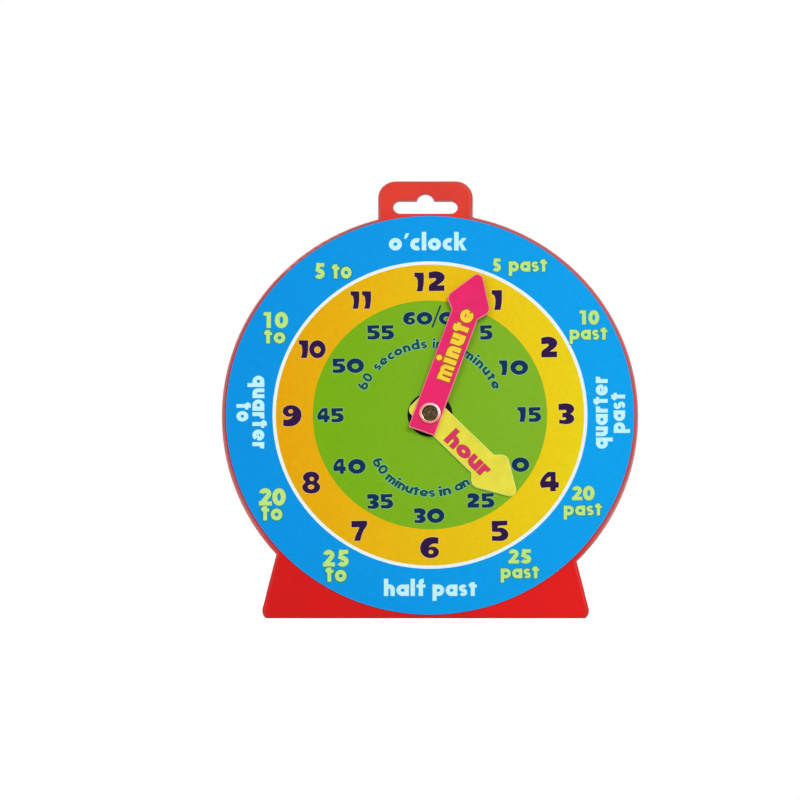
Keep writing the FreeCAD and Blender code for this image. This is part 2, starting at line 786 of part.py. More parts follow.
def make_spring_washer():
    """A dished spring washer, whose inner edge presses the minute pinion forwards."""
    inner, outer = value("rivet_radius+running_gap"), value("spring_radius")
    top, low = value(SPRING_TOP), value(COVER_FLOOR)
    thick = value("spring_thickness")
    return turned("spring_washer", [
        (inner, top - thick, 0.0),
        (outer, low, 0.0),
        (outer, low + thick, 0.0),
        (inner, top, 0.0),
    ])


def make_rivet_washer():
    return ring("rivet_washer", COVER_BACK, "washer_thickness", "rivet_radius+seat_gap", "washer_radius")


# The cover and its screws.


def make_gear_cover():
    body = new_body("gear_cover")
    half, corner, wall = value("cover_half_width"), value("cover_corner"), value("cover_wall")
    outline = new_sketch(body, "cover_outline", "-board_wall")
    draw_outline(outline, box_corners(-half, half, COVER_LOW, COVER_HIGH, corner))
    pad(body, outline, "-board_wall-(%s)" % COVER_BACK)
    soften(body, "cover_edge", "cover_round", lambda edge: lies_at(edge, value(COVER_BACK)))
    inside = new_sketch(body, "cover_inside", "-board_wall")
    draw_outline(inside, box_corners(wall - half, half - wall, COVER_LOW + wall, COVER_HIGH - wall,
                                     corner - wall))
    pocket(body, inside, "-board_wall-(%s)" % COVER_FLOOR)
    idler = [(0.0, IDLER_Y)]
    post(body, "cover_idler_seat", COVER_FLOOR, "idler_seat_radius",
         "%s-(%s)" % (IDLER_WASHER_BACK, COVER_FLOOR), idler, backwards=False)
    drill(body, "cover_pin_seat", IDLER_WASHER_BACK, "idler_pin_radius+seat_gap",
          "%s-(%s)+idler_pin_seat" % (IDLER_WASHER_BACK, COVER_FLOOR), idler)
    drill(body, "cover_rivet_hole", COVER_FLOOR, "rivet_radius+seat_gap", "cover_wall")
    drill(body, "cover_screw_holes", COVER_FLOOR, "screw_radius+screw_hole_gap", "cover_wall",
          screw_places())
    drill(body, "cover_screw_sinks", COVER_BACK, "screw_head_radius+screw_sink_gap",
          "screw_sink_depth", screw_places(), backwards=False)
    return body


def make_cover_screws():
    """The cover's screws, one pan-head screw repeated as separate solids."""
    screw = make_cover_screw()
    seat = value(COVER_BACK + "+screw_sink_depth")
    screws = doc.addObject("Part::Feature", "cover_screws")
    screws.Label = "cover_screws"
    screws.Shape = Part.makeCompound([screw.Shape.translated(Vector(x, y, seat)) for x, y in screw_places()])
    return screws


def make_cover_screw():
    """A pan-head screw in a frame of its own: the head's seat at 0, the shank forwards along Z."""
    shank, head = value("screw_radius"), value("screw_head_radius")
    length, height = value("screw_length"), value("screw_head_height")
    body = turned("one_screw", [
        (0.0, -height, 0.0),
        (head, -height, value("screw_head_round")),
        (head, 0.0, 0.0),
        (shank, 0.0, 0.0),
        (shank, length - value("screw_point"), 0.0),
        (0.0, length, 0.0),
    ])
    slot = new_sketch(body, "screw_slot", "-screw_head_height")
    half, across = value("screw_slot_width/2"), head + value("overrun")
    draw_outline(slot, box_corners(-across, across, -half, half))
    pocket(body, slot, "screw_slot_depth", backwards=False)
    return body


# The leg, drawn in its own frame: origin on the hinge, Y up the leg, Z towards the board.


def leg_side(y):
    """The leg's half width at a height: straight at the neck, then flared to the foot."""
    neck_half = value("ear_gauge-leg_side_gap")
    neck = -value("leg_neck")
    flare = (value("leg_foot_half_width") - neck_half) / (neck - LEG_FOOT_Y)
    return neck_half + max(0.0, neck - y) * flare


def seen_from_leg(y, z):
    """A point of the YZ plane given from the hinge along the board, as the open leg sees it."""
    splay = math.radians(SPLAY_ANGLE)
    return y * math.cos(splay) + z * math.sin(splay), z * math.cos(splay) - y * math.sin(splay)


def add_leg_cells(body):
    """Pockets in the leg's back, which leave a flange at each side and ribs between them."""
    width = value("leg_flange_width")
    top = -value("leg_neck+leg_flange_width")
    bottom = LEG_FOOT_Y + width
    count = int(value("leg_cells"))
    tall = (top - bottom - width * (count - 1)) / count
    cells = new_sketch(body, "leg_cells", "leg_wall/2-leg_flange_depth")
    for number in range(count):
        high = top - number * (tall + width)
        low = high - tall
        corner = value("leg_cell_round")
        draw_outline(cells, [
            (width - leg_side(low), low, corner),
            (leg_side(low) - width, low, corner),
            (leg_side(high) - width, high, corner),
            (width - leg_side(high), high, corner),
        ])
    pocket(body, cells, "leg_flange_depth-leg_wall", backwards=False)


def add_leg_hinge(body):
    """The barrel between the ears, and the heel whose end stops against the board."""
    barrel = new_sketch(body, "leg_barrel", "leg_side_gap-ear_gauge", "YZ_Plane")
    draw_circle(barrel, "barrel_radius")
    pad(body, barrel, "2*(ear_gauge-leg_side_gap)", backwards=False)
    heel = new_sketch(body, "leg_heel", "leg_side_gap-ear_gauge", "YZ_Plane")
    top, back = value("heel_height"), value("heel_back")
    end = value("hinge_standoff-heel_gap")
    seen = [seen_from_leg(y, z) for y, z in ((-back, 0.0), (top - back, 0.0), (top, end), (-back, end))]
    draw_outline(heel, [(y, z, 0.0) for y, z in seen])
    pad(body, heel, "2*(ear_gauge-leg_side_gap)", backwards=False)
    hole = new_sketch(body, "leg_hole", "ear_gauge+overrun", "YZ_Plane")
    draw_circle(hole, "hinge_pin_radius+running_gap")
    pocket(body, hole, "2*(ear_gauge+overrun)")


def make_prop_leg():
    body = new_body("prop_leg")
    plate = new_sketch(body, "leg_plate", "leg_wall/2")
    neck, corner = -value("leg_neck"), value("leg_corner")
    slope = math.tan(math.radians(value("leg_angle")))
    bottom = LEG_FOOT_Y - value("leg_flange_depth") * slope
    draw_outline(plate, [
        (-leg_side(0.0), 0.0, 0.0),
        (-leg_side(neck), neck, corner),
        (-leg_side(bottom), bottom, corner),
        (leg_side(bottom), bottom, corner),
        (leg_side(neck), neck, corner),
        (leg_side(0.0), 0.0, 0.0),
    ])
    pad(body, plate, "leg_flange_depth")
    add_leg_cells(body)
    add_leg_hinge(body)
    cut_at_floor(body, "leg_floor_cut", LEG_FOOT_Y, slope, "leg_foot_half_width")
    return body


def make_hinge_pin():
    body = new_body("hinge_pin")
    half = "ear_gauge+ear_thickness+hinge_pin_proud"
    sketch = new_sketch(body, "hinge_pin_round", half, "YZ_Plane")
    draw_circle(sketch, "hinge_pin_radius", HINGE_Y, HINGE_Z)
    pad(body, sketch, "2*(%s)" % half)
    return body


# Assembly: each piece with its turn about the hands' axis and its place in the clock's frame.

still = Vector(0, 0, 0)
at_idler = Vector(0, IDLER_Y, 0)
minute_turn = Rotation(Vector(0, 0, 1), -value("minute_angle"))
hour_turn = Rotation(Vector(0, 0, 1), -value("hour_angle"))
leg_turn = Rotation(Vector(1, 0, 0), SPLAY_ANGLE)
no_turn = Rotation()

pieces = [
    (make_board(), still, no_turn),
    (make_dial_card(), still, no_turn),
    (make_hour_wheel(), still, hour_turn),
    (make_hub_disc(), still, hour_turn),
    (make_thrust_washer(), still, no_turn),
    (make_hour_hand(), still, hour_turn),
    (make_hand_washer(), still, hour_turn),
    (make_minute_hand(), still, minute_turn),
    (make_minute_pipe(), still, minute_turn),
    (make_minute_pinion(), still, minute_turn),
    (make_idler_gear(), at_idler, no_turn),
    (make_idler_pin(), still, no_turn),
    (make_idler_washer(), at_idler, no_turn),
    (make_centre_rivet(), still, no_turn),
    (make_spring_washer(), still, no_turn),
    (make_rivet_washer(), still, no_turn),
    (make_gear_cover(), still, no_turn),
    (make_prop_leg(), Vector(0, HINGE_Y, HINGE_Z), leg_turn),
    (make_hinge_pin(), still, no_turn),
    (make_cover_screws(), still, no_turn),
]


def stand(origin):
    """Leans the clock's frame back and puts its origin at a place in the room."""
    clock = Placement(origin, CLOCK_TURN)
    for body, place, turn in pieces:
        body.Placement = clock.multiply(Placement(place, turn))
    doc.recompute()


# The part's origin is on the floor, in the middle of the whole clock.
stand(Vector(0, 0, value("dial_height")))
whole = FreeCAD.BoundBox()
for body, _, _ in pieces:
    whole.add(body.Shape.optimalBoundingBox(False))
stand(Vector(-whole.Center.x, -whole.Center.y, value("dial_height")))

for item in doc.Objects:
    if "Invalid" in item.State or "Error" in item.State:
        raise ValueError("%s is %s" % (item.Label, item.State))
for body, _, _ in pieces:
    count = len(screw_places()) if body.Label == "cover_screws" else 1
    if body.Shape.isNull() or not body.Shape.isValid() or len(body.Shape.Solids) != count:
        raise ValueError("%s isn't whole and valid" % body.Label)

os.makedirs("parts", exist_ok=True)
for body, _, _ in pieces:
    body.Shape.exportStep("parts/%s.step" % body.Label)
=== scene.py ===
"""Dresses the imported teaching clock: moulded finishes, a printed dial and its lettering, and a studio."""
import json
import math

import bmesh
import bpy
from bpy.props import FloatProperty, FloatVectorProperty
from mathutils import Matrix, Vector
from mathutils.geometry import delaunay_2d_cdt


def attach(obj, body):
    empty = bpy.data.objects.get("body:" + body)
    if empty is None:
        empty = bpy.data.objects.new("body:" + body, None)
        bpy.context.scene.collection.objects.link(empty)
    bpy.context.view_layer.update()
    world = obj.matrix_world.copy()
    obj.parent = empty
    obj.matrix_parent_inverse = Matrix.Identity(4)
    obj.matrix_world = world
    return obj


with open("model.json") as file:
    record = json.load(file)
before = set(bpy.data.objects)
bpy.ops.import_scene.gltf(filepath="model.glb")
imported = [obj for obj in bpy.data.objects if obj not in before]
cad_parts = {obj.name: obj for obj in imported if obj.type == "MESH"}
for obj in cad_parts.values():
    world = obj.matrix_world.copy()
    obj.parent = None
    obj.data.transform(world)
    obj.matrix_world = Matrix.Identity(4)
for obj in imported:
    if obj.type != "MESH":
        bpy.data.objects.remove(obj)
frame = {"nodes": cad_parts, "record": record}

bl_info = {
    "name": "Geared Teaching Clock",
    "version": (1, 0, 0),
    "blender": (4, 5, 0),
    "location": "View3D > Sidebar > Teaching Clock",
    "description": "Gives the teaching clock its moulded, printed and metal finishes, and lights it",
    "category": "Object",
}

# The board's own frame: x right along the dial, y up its face, z out towards the reader, in millimetres

SPIN = next(j for j in frame["record"]["behaviour"]["joints"] if j["name"] == "minute_spin")
DIAL_CENTRE = Vector(SPIN["pos_m"])
FACE_OUT = -Vector(SPIN["axis"])
FACE_UP = FACE_OUT.cross(Vector((1, 0, 0)))
BOARD = (
    Matrix.Translation(DIAL_CENTRE)
    @ Matrix(((1, FACE_UP.x, FACE_OUT.x), (0, FACE_UP.y, FACE_OUT.y), (0, FACE_UP.z, FACE_OUT.z))).to_4x4()
    @ Matrix.Scale(0.001, 4)
)
MINUTE_HAND = BOARD @ Matrix.Rotation(-math.radians(19.9), 4, "Z")
HOUR_HAND = BOARD @ Matrix.Rotation(-math.radians(134.8), 4, "Z")

# Levels above the board's face, in millimetres: each ink starts a little inside what it is printed on,
# and the edge of a word lies lower than its letters

CARD_TOP = 0.4
RING_INK = (CARD_TOP - 0.02, CARD_TOP + 0.04)
WORD_INK = (CARD_TOP + 0.03, CARD_TOP + 0.10)
HOUR_HAND_INK = (1.78, 1.86)
MINUTE_HAND_INK = (3.48, 3.56)
EDGE_DROP = 0.03

# Measures of the lettering, in heights of its small round letters

LETTER_GAP = 0.13
CURVE_GAP = 0.12
FIGURE_HEIGHT = 1.45
FIGURE_WIDTH = 0.74

# Half the width over which colours change from painted shade on the left to painted light on the right,
# and the ejector pins' spacing, in metres

PAINTED_LIGHT_SPREAD = 0.085
PIN_SPACING = 0.042

# How many straight pieces a round line is drawn with

RING_SIDES = 240
FLOOR_SIDES = 128


def linear(code):
    """Turn an sRGB hex colour into the linear colour that Blender works in."""
    parts = [int(code[i:i + 2], 16) / 255 for i in (1, 3, 5)]
    return tuple(c / 12.92 if c <= 0.04045 else ((c + 0.055) / 1.055) ** 2.4 for c in parts)


def colour(name, description, code):
    """A colour that a user can change, given as sRGB hex."""
    return FloatVectorProperty(
        name=name, description=description, subtype="COLOR", size=3, min=0, max=1, default=linear(code)
    )


def length(name, description, millimetres):
    """A size that a user can change, given in millimetres."""
    return FloatProperty(
        name=name, description=description, unit="LENGTH", min=0, precision=5, default=millimetres / 1000
    )


def power(name, description, watts):
    """A lamp's power that a user can change."""
    return FloatProperty(name=name, description=description, unit="POWER", min=0, default=watts)


class CLOCK_PG_mouldings(bpy.types.PropertyGroup):
    # the two reds are painted shade on the left side and painted light on the right side
    red_left: colour("Red, left", "The moulded red at the left side", "#D40100")
    red_right: colour("Red, right", "The moulded red at the right side", "#E20401")
    # the loop's paler red is painted light on the top of the board
    red_top: colour("Red, loop", "The paler red of the hanging loop", "#E03829")
    # the rim's colours are painted shade beside the card and painted light where the edge turns to the side
    rim_shade_inner: colour("Rim, inner", "The rubbed edge of the disc beside the card", "#9A565A")
    rim_light_outer: colour("Rim, outer", "The rubbed edge of the disc where it turns to the side", "#E4827A")
    minute_pink: colour("Minute hand", "The pink of the minute hand", "#E91C69")
    hour_yellow: colour("Hour hand", "The lemon yellow of the hour hand", "#E5DD40")
    hub_black: colour("Hub", "The black of the disc behind the hands", "#0B090B")
    gear_white: colour("Gears", "The natural white of the gears", "#ECE9DF")
    grain: length("Grain", "Spacing of the fine texture of the mould", 0.9)


class CLOCK_PG_print(bpy.types.PropertyGroup):
    # each left and right pair is painted shade on the left and painted light on the right
    blue_left: colour("Blue, left", "The outer ring of the card at nine o'clock", "#0094E4")
    blue_right: colour("Blue, right", "The outer ring of the card at three o'clock", "#00A1ED")
    white: colour("White", "The thin ring inside the blue one", "#EAF6F6")
    yellow_left: colour("Yellow, left", "The hour ring at nine o'clock", "#E7A300")
    yellow_right: colour("Yellow, right", "The hour ring at three o'clock", "#ECD513")
    green_left: colour("Green, left", "The minute disc at nine o'clock", "#74AF02")
    green_right: colour("Green, right", "The minute disc at three o'clock", "#82B429")
    hour_ink: colour("Hour numbers", "The purple ink of the hours", "#2C0F42")
    minute_ink: colour("Minute numbers", "The navy ink of the minutes", "#002F58")
    white_ink: colour("White words", "The words of the blue ring", "#C4F6FC")
    lime_ink: colour("Lime words", "The smaller words of the blue ring", "#BFE882")
    lime_edge: colour("Lime words, edge", "The darker edge of the smaller words", "#1E8C92")
    teal_ink: colour("Curved words", "The two curved sentences", "#124A4C")
    teal_edge: colour("Curved words, edge", "The pale edge of the two curved sentences", "#86C9A0")
    yellow_ink: colour("Yellow word", "The word on the minute hand", "#F9D13C")
    magenta_ink: colour("Magenta word", "The word on the hour hand", "#DA3468")
    hand_edge: colour("Hand words, edge", "The darker edge of the words on the hands", "#B4502E")
    green_radius: length("Green radius", "Radius of the minute disc", 58.0)
    yellow_radius: length("Yellow radius", "Outer radius of the hour ring", 76.3)
    white_radius: length("White radius", "Outer radius of the white ring", 77.95)
    bore_radius: length("Bore radius", "Hole of the rings round the hub", 11.18)


class CLOCK_PG_studio(bpy.types.PropertyGroup):
    distance: length("Camera distance", "From the camera to the dial", 9000)
    elevation: FloatProperty(
        name="Camera elevation", description="How steeply the camera looks down", subtype="ANGLE",
        default=0.0,
    )
    view_width: length("View width", "What the picture takes in at the dial", 396)
    key_power: power("Key lamp", "Power of the lamp above on the right", 27.0)
    fill_power: power("Fill lamp", "Power of the lamp on the left", 18.0)
    back_power: power("Back lamp", "Power of the lamp behind", 22.0)
    sky: FloatProperty(name="Sky", description="Strength of the even light round the object", default=0.35)
    floor_radius: length("Floor radius", "Radius of the pale round floor", 1100)


# Lettering is drawn as bands along its strokes, and the bands are joined into one flat shape


def arc(cx, cy, rx, ry, start, end):
    """Points along an ellipse from one angle to another, in degrees."""
    steps = max(4, round(abs(end - start) / 12))
    turns = [math.radians(start + (end - start) * i / steps) for i in range(steps + 1)]
    return [(cx + rx * math.cos(t), cy + ry * math.sin(t)) for t in turns]


def band(points, width, closed=False):
    """Four-sided pieces of one width that follow a line."""
    sides = []
    for i, point in enumerate(points):
        before = points[i - 1] if i or closed else point
        after = points[(i + 1) % len(points)] if i + 1 < len(points) or closed else point
        along = (Vector(after) - Vector(before)).normalized()
        across = Vector((-along.y, along.x)) * (width / 2)
        sides.append((Vector(point) + across, Vector(point) - across))
    pairs = list(zip(sides, sides[1:] + sides[:1] if closed else sides[1:]))
    return [(a[0], a[1], b[1], b[0]) for a, b in pairs]


def oval(cx, cy, rx, ry, width):
    """A closed ring of one width."""
    return band(arc(cx, cy, rx, ry, 0, 360)[:-1], width, closed=True)


def letter(sign, w):
    """The solid pieces of a letter whose small round letters are 1 high, with its width."""
    h = w / 2
    far = 1.04 - h
    r = 0.45 - h
    bowl = oval(0.52, 0.5, 0.52 - h, 0.5 - h, w)
    arch = arc(0.45, 1 - h - r, r, r, 180, 0) + [(0.9 - h, 0)]
    stem = band([(h, 0), (h, 1)], w)
    tall = band([(h, 0), (h, 1.5)], w)
    if sign == "o":
        return bowl, 1.04
    posts = {"a": (far, 0, 1), "d": (far, 0, 1.5), "q": (far, -0.42, 1), "p": (h, -0.42, 1)}
    if sign in posts:
        x, low, high = posts[sign]
        return bowl + band([(x, low), (x, high)], w), 1.04
    if sign == "c":
        return band(arc(0.52, 0.5, 0.52 - h, 0.5 - h, 58, 302), w), 0.78
    if sign == "e":
        slim = min(w, 0.34)
        curl = band(arc(0.52, 0.5, 0.52 - slim / 2, 0.5 - slim / 2, 2, 325), slim)
        return curl + band([(slim / 2, 0.47), (1.04 - slim * 0.15, 0.47)], slim * 0.5), 1.04
    if sign == "h":
        return tall + band(arch, w), 0.9
    if sign == "n":
        return stem + band(arch, w), 0.9
    if sign == "u":
        return [[(0.9 - x, 1 - y) for x, y in piece] for piece in stem + band(arch, w)], 0.9
    if sign == "m":
        slim = min(w, 0.31)
        reach = 0.39 - slim / 2
        first = band(arc(0.39, 1 - 0.39, reach, reach, 180, 0) + [(0.78 - slim / 2, 0)], slim)
        second = [[(x + 0.78 - slim, y) for x, y in piece] for piece in first]
        return band([(slim / 2, 0), (slim / 2, 1)], slim) + first + second, 1.56 - slim
    if sign == "r":
        return stem + band(arc(h + 0.3, 0.7 - h, 0.3, 0.3, 180, 72), w), h + 0.42
    if sign == "l":
        return tall, w
    if sign == "i":
        return stem + [arc(h, 1.18 + h, h * 1.12, h * 1.12, 0, 360)[:-1]], w
    if sign == "k":
        arm = [(w * 0.7, 0.52), (w * 1.5, 0.42), (0.98, 1), (0.62, 1)]
        leg = [(w * 0.9, 0.62), (w * 1.6, 0.70), (1.0, 0), (0.62, 0)]
        return tall + [arm, leg], 0.96
    if sign == "f":
        hook = band([(0.36, 0), (0.36, 1.1)] + arc(0.58, 1.22, 0.22, 0.28 - h, 180, 84), w)
        return hook + band([(0, 1 - w * 0.38), (0.74, 1 - w * 0.38)], w * 0.76), 0.72
    if sign == "t":
        post = band([(0.36, 0), (0.36, 1.2)], w)
        foot = 0.98 - w * 0.4
        slope = [(0, foot), (0.38, foot), (0.36 - h * 0.2, 1.2), (0.36 - h, 1.2), (0, 1)]
        return post + [slope] + band([(0.1, 1 - w * 0.38), (0.72, 1 - w * 0.38)], w * 0.76), 0.74
    if sign == "s":
        thin = w * 0.8
        rx = 0.37 - thin / 2
        ry = (1 - thin) / 4
        high = arc(0.37, 1 - thin / 2 - ry, rx, ry, 32, 270)
        low = arc(0.37, thin / 2 + ry, rx, ry, 90, -148)
        return band(high + low[1:], thin), 0.74
    if sign == "'":
        return [[(0.02, 0.96), (0.22, 0.96), (0.46, 1.38), (0.18, 1.38)]], 0.4
    raise ValueError("there is no letter " + sign)


def plain_figure(sign, w):
    """The solid pieces of a plain figure that is 1 high."""
    h = w / 2
    if sign == "0":
        return oval(0.37, 0.5, 0.37 - h, 0.5 - h, w)
    if sign == "1":
        return band([(0.32, 0), (0.32, 1)], w) + [[(0, 0.78), (0.32, 0.78), (0.32, 1), (0.06, 1), (0, 0.9)]]
    if sign == "2":
        swan = arc(0.35, 0.68, 0.34 - h, 0.32 - h, 172, -36) + [(0.16, h * 0.9)]
        return band(swan, w) + band([(0, h * 0.9), (0.72, h * 0.9)], w * 0.9)
    if sign == "5":
        belly = arc(0.33, 0.32, 0.36 - h, 0.32 - h, 128, -150)
        return (
            band([(0.14, 1 - h * 0.9), (0.66, 1 - h * 0.9)], w * 0.9)
            + band([(0.14 + h, 1), (0.06 + h, 0.46)], w)
            + band(belly, w)
        )
    if sign == "6":
        tail = arc(0.60, 0.34, 0.60 - h, 0.76, 180, 122)
        return oval(0.37, 0.33, 0.37 - h, 0.33 - h, w) + band(tail, w)
    raise ValueError("there is no plain figure " + sign)


# The fat figures are outlines whose third number marks a sharp corner, with their holes after them

FAT_FIGURES = {
    "1": (
        [(0, 10, 1), (5, 10, 1), (5.1, 6.6), (4.9, 3.4), (4.35, 0, 1), (1.2, 0, 1), (1.8, 2.7), (1.8, 5.3),
        (1.3, 7.2), (0.1, 7.9, 1)], (),
    ),
    "2": (
        [(0.1, 9.9, 1), (3.1, 10.5), (5.8, 10.1), (7.7, 8.7), (8.1, 6.9), (7.1, 5.1), (5.6, 3.9),
        (4.3, 2.95, 1), (8, 3.1, 1), (8, 0.1, 1), (0.2, 0, 1), (0.1, 2.3), (0.8, 3.6), (2.6, 4.9),
        (3.8, 6.1), (3.3, 6.9), (2, 6.8), (0.1, 6.7, 1)], (),
    ),
    "3": (
        [(0, 10.2, 1), (3.6, 10.6), (6.3, 10), (7.8, 8.2), (7.3, 6.4), (6, 5.2, 1), (7.3, 4.3), (7.8, 2.6),
        (6.9, 0.9), (4.8, 0.05), (2.6, 0.1), (0.3, 0.4, 1), (0.4, 2.5, 1), (2.2, 2.1), (3.7, 2.5),
        (3.6, 3.3), (1.9, 3.5, 1), (1.9, 5.8, 1), (3.5, 5.9), (4, 6.6), (3.3, 7.2), (0.1, 7.1, 1)], (),
    ),
    "4": (
        [(4.1, 9.8, 1), (7.7, 9.8, 1), (7.8, 4.7, 1), (9.3, 4.6, 1), (9.3, 1.9, 1), (7.8, 1.8, 1),
        (7.8, 0, 1), (5.1, 0.1, 1), (5, 2.1, 1), (0.9, 1.7, 1), (0.1, 3.5), (0.5, 5.6), (1.8, 7.7),
        (3.2, 9.1)], [[(5.3, 7.5, 1), (5.3, 5.1, 1), (2.7, 5.1, 1), (3.6, 6.5)]],
    ),
    "5": (
        [(0, 9.9, 1), (7.8, 10.1, 1), (7.8, 7.8, 1), (3.3, 7.6, 1), (3.2, 6.5), (5.2, 6.6), (7.4, 5.4),
        (8.3, 3.4), (7.7, 1.4), (5.8, 0.2), (3.2, 0), (0.2, 0.1, 1), (0.2, 2.5, 1), (3.4, 2.4), (4.9, 3.2),
        (4.2, 4.3), (2.4, 4.5), (0.3, 4.5, 1)], (),
    ),
    "6": (
        [(9.1, 10.3, 1), (9, 7.2, 1), (6.9, 7.3), (5.2, 6.6), (4.3, 5.3, 1), (5.6, 5.8), (7.4, 5.6),
        (8.9, 4.4), (9.3, 2.8), (8.5, 1.1), (6.7, 0.15), (4.6, 0), (2.2, 0.8), (0.5, 2.7), (0, 5.1),
        (0.7, 7.7), (2.5, 9.7), (5.1, 10.6), (7.4, 10.6)], [arc(5.35, 3.1, 1.2, 1.05, 0, 360)[:-1]],
    ),
    "7": (
        [(0, 10, 1), (7.8, 10.1, 1), (7.9, 8.7), (7.4, 7.2), (6.2, 5.4), (5.1, 2.8), (4.4, 0.1, 1),
        (1.5, 0, 1), (2.2, 2.7), (3.3, 5.1), (4, 6.9, 1), (0.1, 6.8, 1)], (),
    ),
    "8": (
        [(4.5, 11), (7, 10.4), (8.4, 8.8), (8.3, 7), (7.4, 5.8), (8.7, 4.3), (8.9, 2.4), (7.3, 0.6),
        (4.5, 0), (1.7, 0.6), (0.1, 2.4), (0.3, 4.3), (1.6, 5.8), (0.6, 7), (0.5, 8.8), (1.9, 10.4)],
        [arc(4.8, 7.3, 1.1, 1.05, 0, 360)[:-1], arc(4.4, 3.3, 1.6, 1.2, 0, 360)[:-1]],
    ),
    "0": (
        [(x + 4, y + 4.5) for x, y in arc(0, 0, 4, 4.5, 0, 360)[:-1]], [arc(4, 4.2, 1.6, 1.7, 0, 360)[:-1]],
    ),
}


def rounded(outline):
    """A closed line through the points of an outline, smooth except at its sharp corners."""
    line = []
    count = len(outline)
    for i in range(count):
        a, b, c, d = (outline[(i + k) % count] for k in (-1, 0, 1, 2))
        sharp_b = len(b) == 3
        sharp_c = len(c) == 3
        steps = 1 if sharp_b and sharp_c else 5
        before = Vector(b[:2]) if sharp_b else Vector(a[:2])
        after = Vector(c[:2]) if sharp_c else Vector(d[:2])
        p, q = Vector(b[:2]), Vector(c[:2])
        for step in range(steps):
            t = step / steps
            line.append(
                0.5 * (2 * p + (q - before) * t + (2 * before - 5 * p + 4 * q - after) * t * t
                       + (3 * p - before - 3 * q + after) * t ** 3)
            )
    return line


def fat_figure(sign):
    """The outline and the holes of a fat figure, scaled to a box 1 wide and 1 high."""
    if sign == "9":
        outline, holes = fat_figure("6")
        return [Vector((1, 1)) - p for p in outline], [[Vector((1, 1)) - p for p in hole] for hole in holes]
    raw, gaps = FAT_FIGURES[sign]
    outline = rounded(raw)
    low, high = (Vector([pick(p[k] for p in outline) for k in (0, 1)]) for pick in (min, max))

    def fit(p):
        return Vector(((p[0] - low.x) / (high.x - low.x), (p[1] - low.y) / (high.y - low.y)))

    # a hole given by a few points is smoothed like the outline, and the others are round already
    holes = [rounded(gap) if len(gap) < 8 else gap for gap in gaps]
    return [fit(p) for p in outline], [[fit(p) for p in hole] for hole in holes]


def inside(x, y, polygon):
    """Whether a point lies in a polygon."""
    found = False
    last = polygon[-1]
    for point in polygon:
        if (point[1] > y) != (last[1] > y):
            if x < (last[0] - point[0]) * (y - point[1]) / (last[1] - point[1]) + point[0]:
                found = not found
        last = point
    return found


def flat_shape(solids, holes=()):
    """Points and triangles of all the solids joined together, without the holes."""
    points = []
    loops = []
    for polygon in [*solids, *holes]:
        loops.append(list(range(len(points), len(points) + len(polygon))))
        points.extend(Vector(p) for p in polygon)
    found, _, faces, *_ = delaunay_2d_cdt(points, [], loops, 0, 1e-5)
    kept = []
    for face in faces:
        x = sum(found[i].x for i in face) / 3
        y = sum(found[i].y for i in face) / 3
        if any(inside(x, y, s) for s in solids) and not any(inside(x, y, s) for s in holes):
            kept.append(tuple(face))
    return found, kept


def sized(shape, wide, tall):
    """The same shape, stretched to a width and a height."""
    points, faces = shape
    return [Vector((p[0] * wide, p[1] * tall)) for p in points], faces


def edging(shape, width):
    """A band of one width along the edge of a flat shape."""
    points, faces = shape
    edges = {(face[i], face[(i + 1) % 3]) for face in faces for i in range(3)}
    pieces = []
    for a, b in edges:
        if (b, a) not in edges:
            along = (points[b] - points[a]).normalized() * width / 2
            across = Vector((-along.y, along.x))
            start, end = points[a] - along, points[b] + along
            pieces.append((start + across, start - across, end - across, end + across))
    return flat_shape(pieces)


def lay_film(mesh, shape, place, levels):
    """Add a closed film of ink between two levels; place turns the shape's points into the world's."""
    points, faces = shape
    used = sorted({i for face in faces for i in face})
    low, high = ({i: mesh.verts.new(place @ Vector((*points[i], level))) for i in used} for level in levels)
    edges = {(face[i], face[(i + 1) % 3]) for face in faces for i in range(3)}
    for a, b, c in faces:
        mesh.faces.new((high[a], high[b], high[c]))
        mesh.faces.new((low[c], low[b], low[a]))
    for a, b in edges:
        if (b, a) not in edges:
            mesh.faces.new((low[a], low[b], high[b], high[a]))


def lay_edged(mesh, shape, place, levels, edge, width):
    """Add a film of ink to a mesh, and a band round it, a little lower, to an edge mesh."""
    lay_film(mesh, shape, place, levels)
    if edge:
        lay_film(edge, edging(shape, width), place, (levels[0], levels[1] - EDGE_DROP))


def lay_line(mesh, text, board, start, turn, span, height, weight, levels, edge=None, width=0.0):
    """Set a straight line of lettering that starts at a point of the board and fills its span."""
    placed = []
    x = 0.0
    for sign in text:
        pieces, wide = letter(sign, weight)
        placed.append((x, pieces))
        x += wide + LETTER_GAP
    stretch = span / (x - LETTER_GAP)
    for offset, pieces in placed:
        place = (
            board
            @ Matrix.Translation((*start, 0))
            @ Matrix.Rotation(math.radians(turn), 4, "Z")
            @ Matrix.Translation((offset * stretch, 0, 0))
        )
        lay_edged(mesh, sized(flat_shape(pieces), stretch, height), place, levels, edge, width)


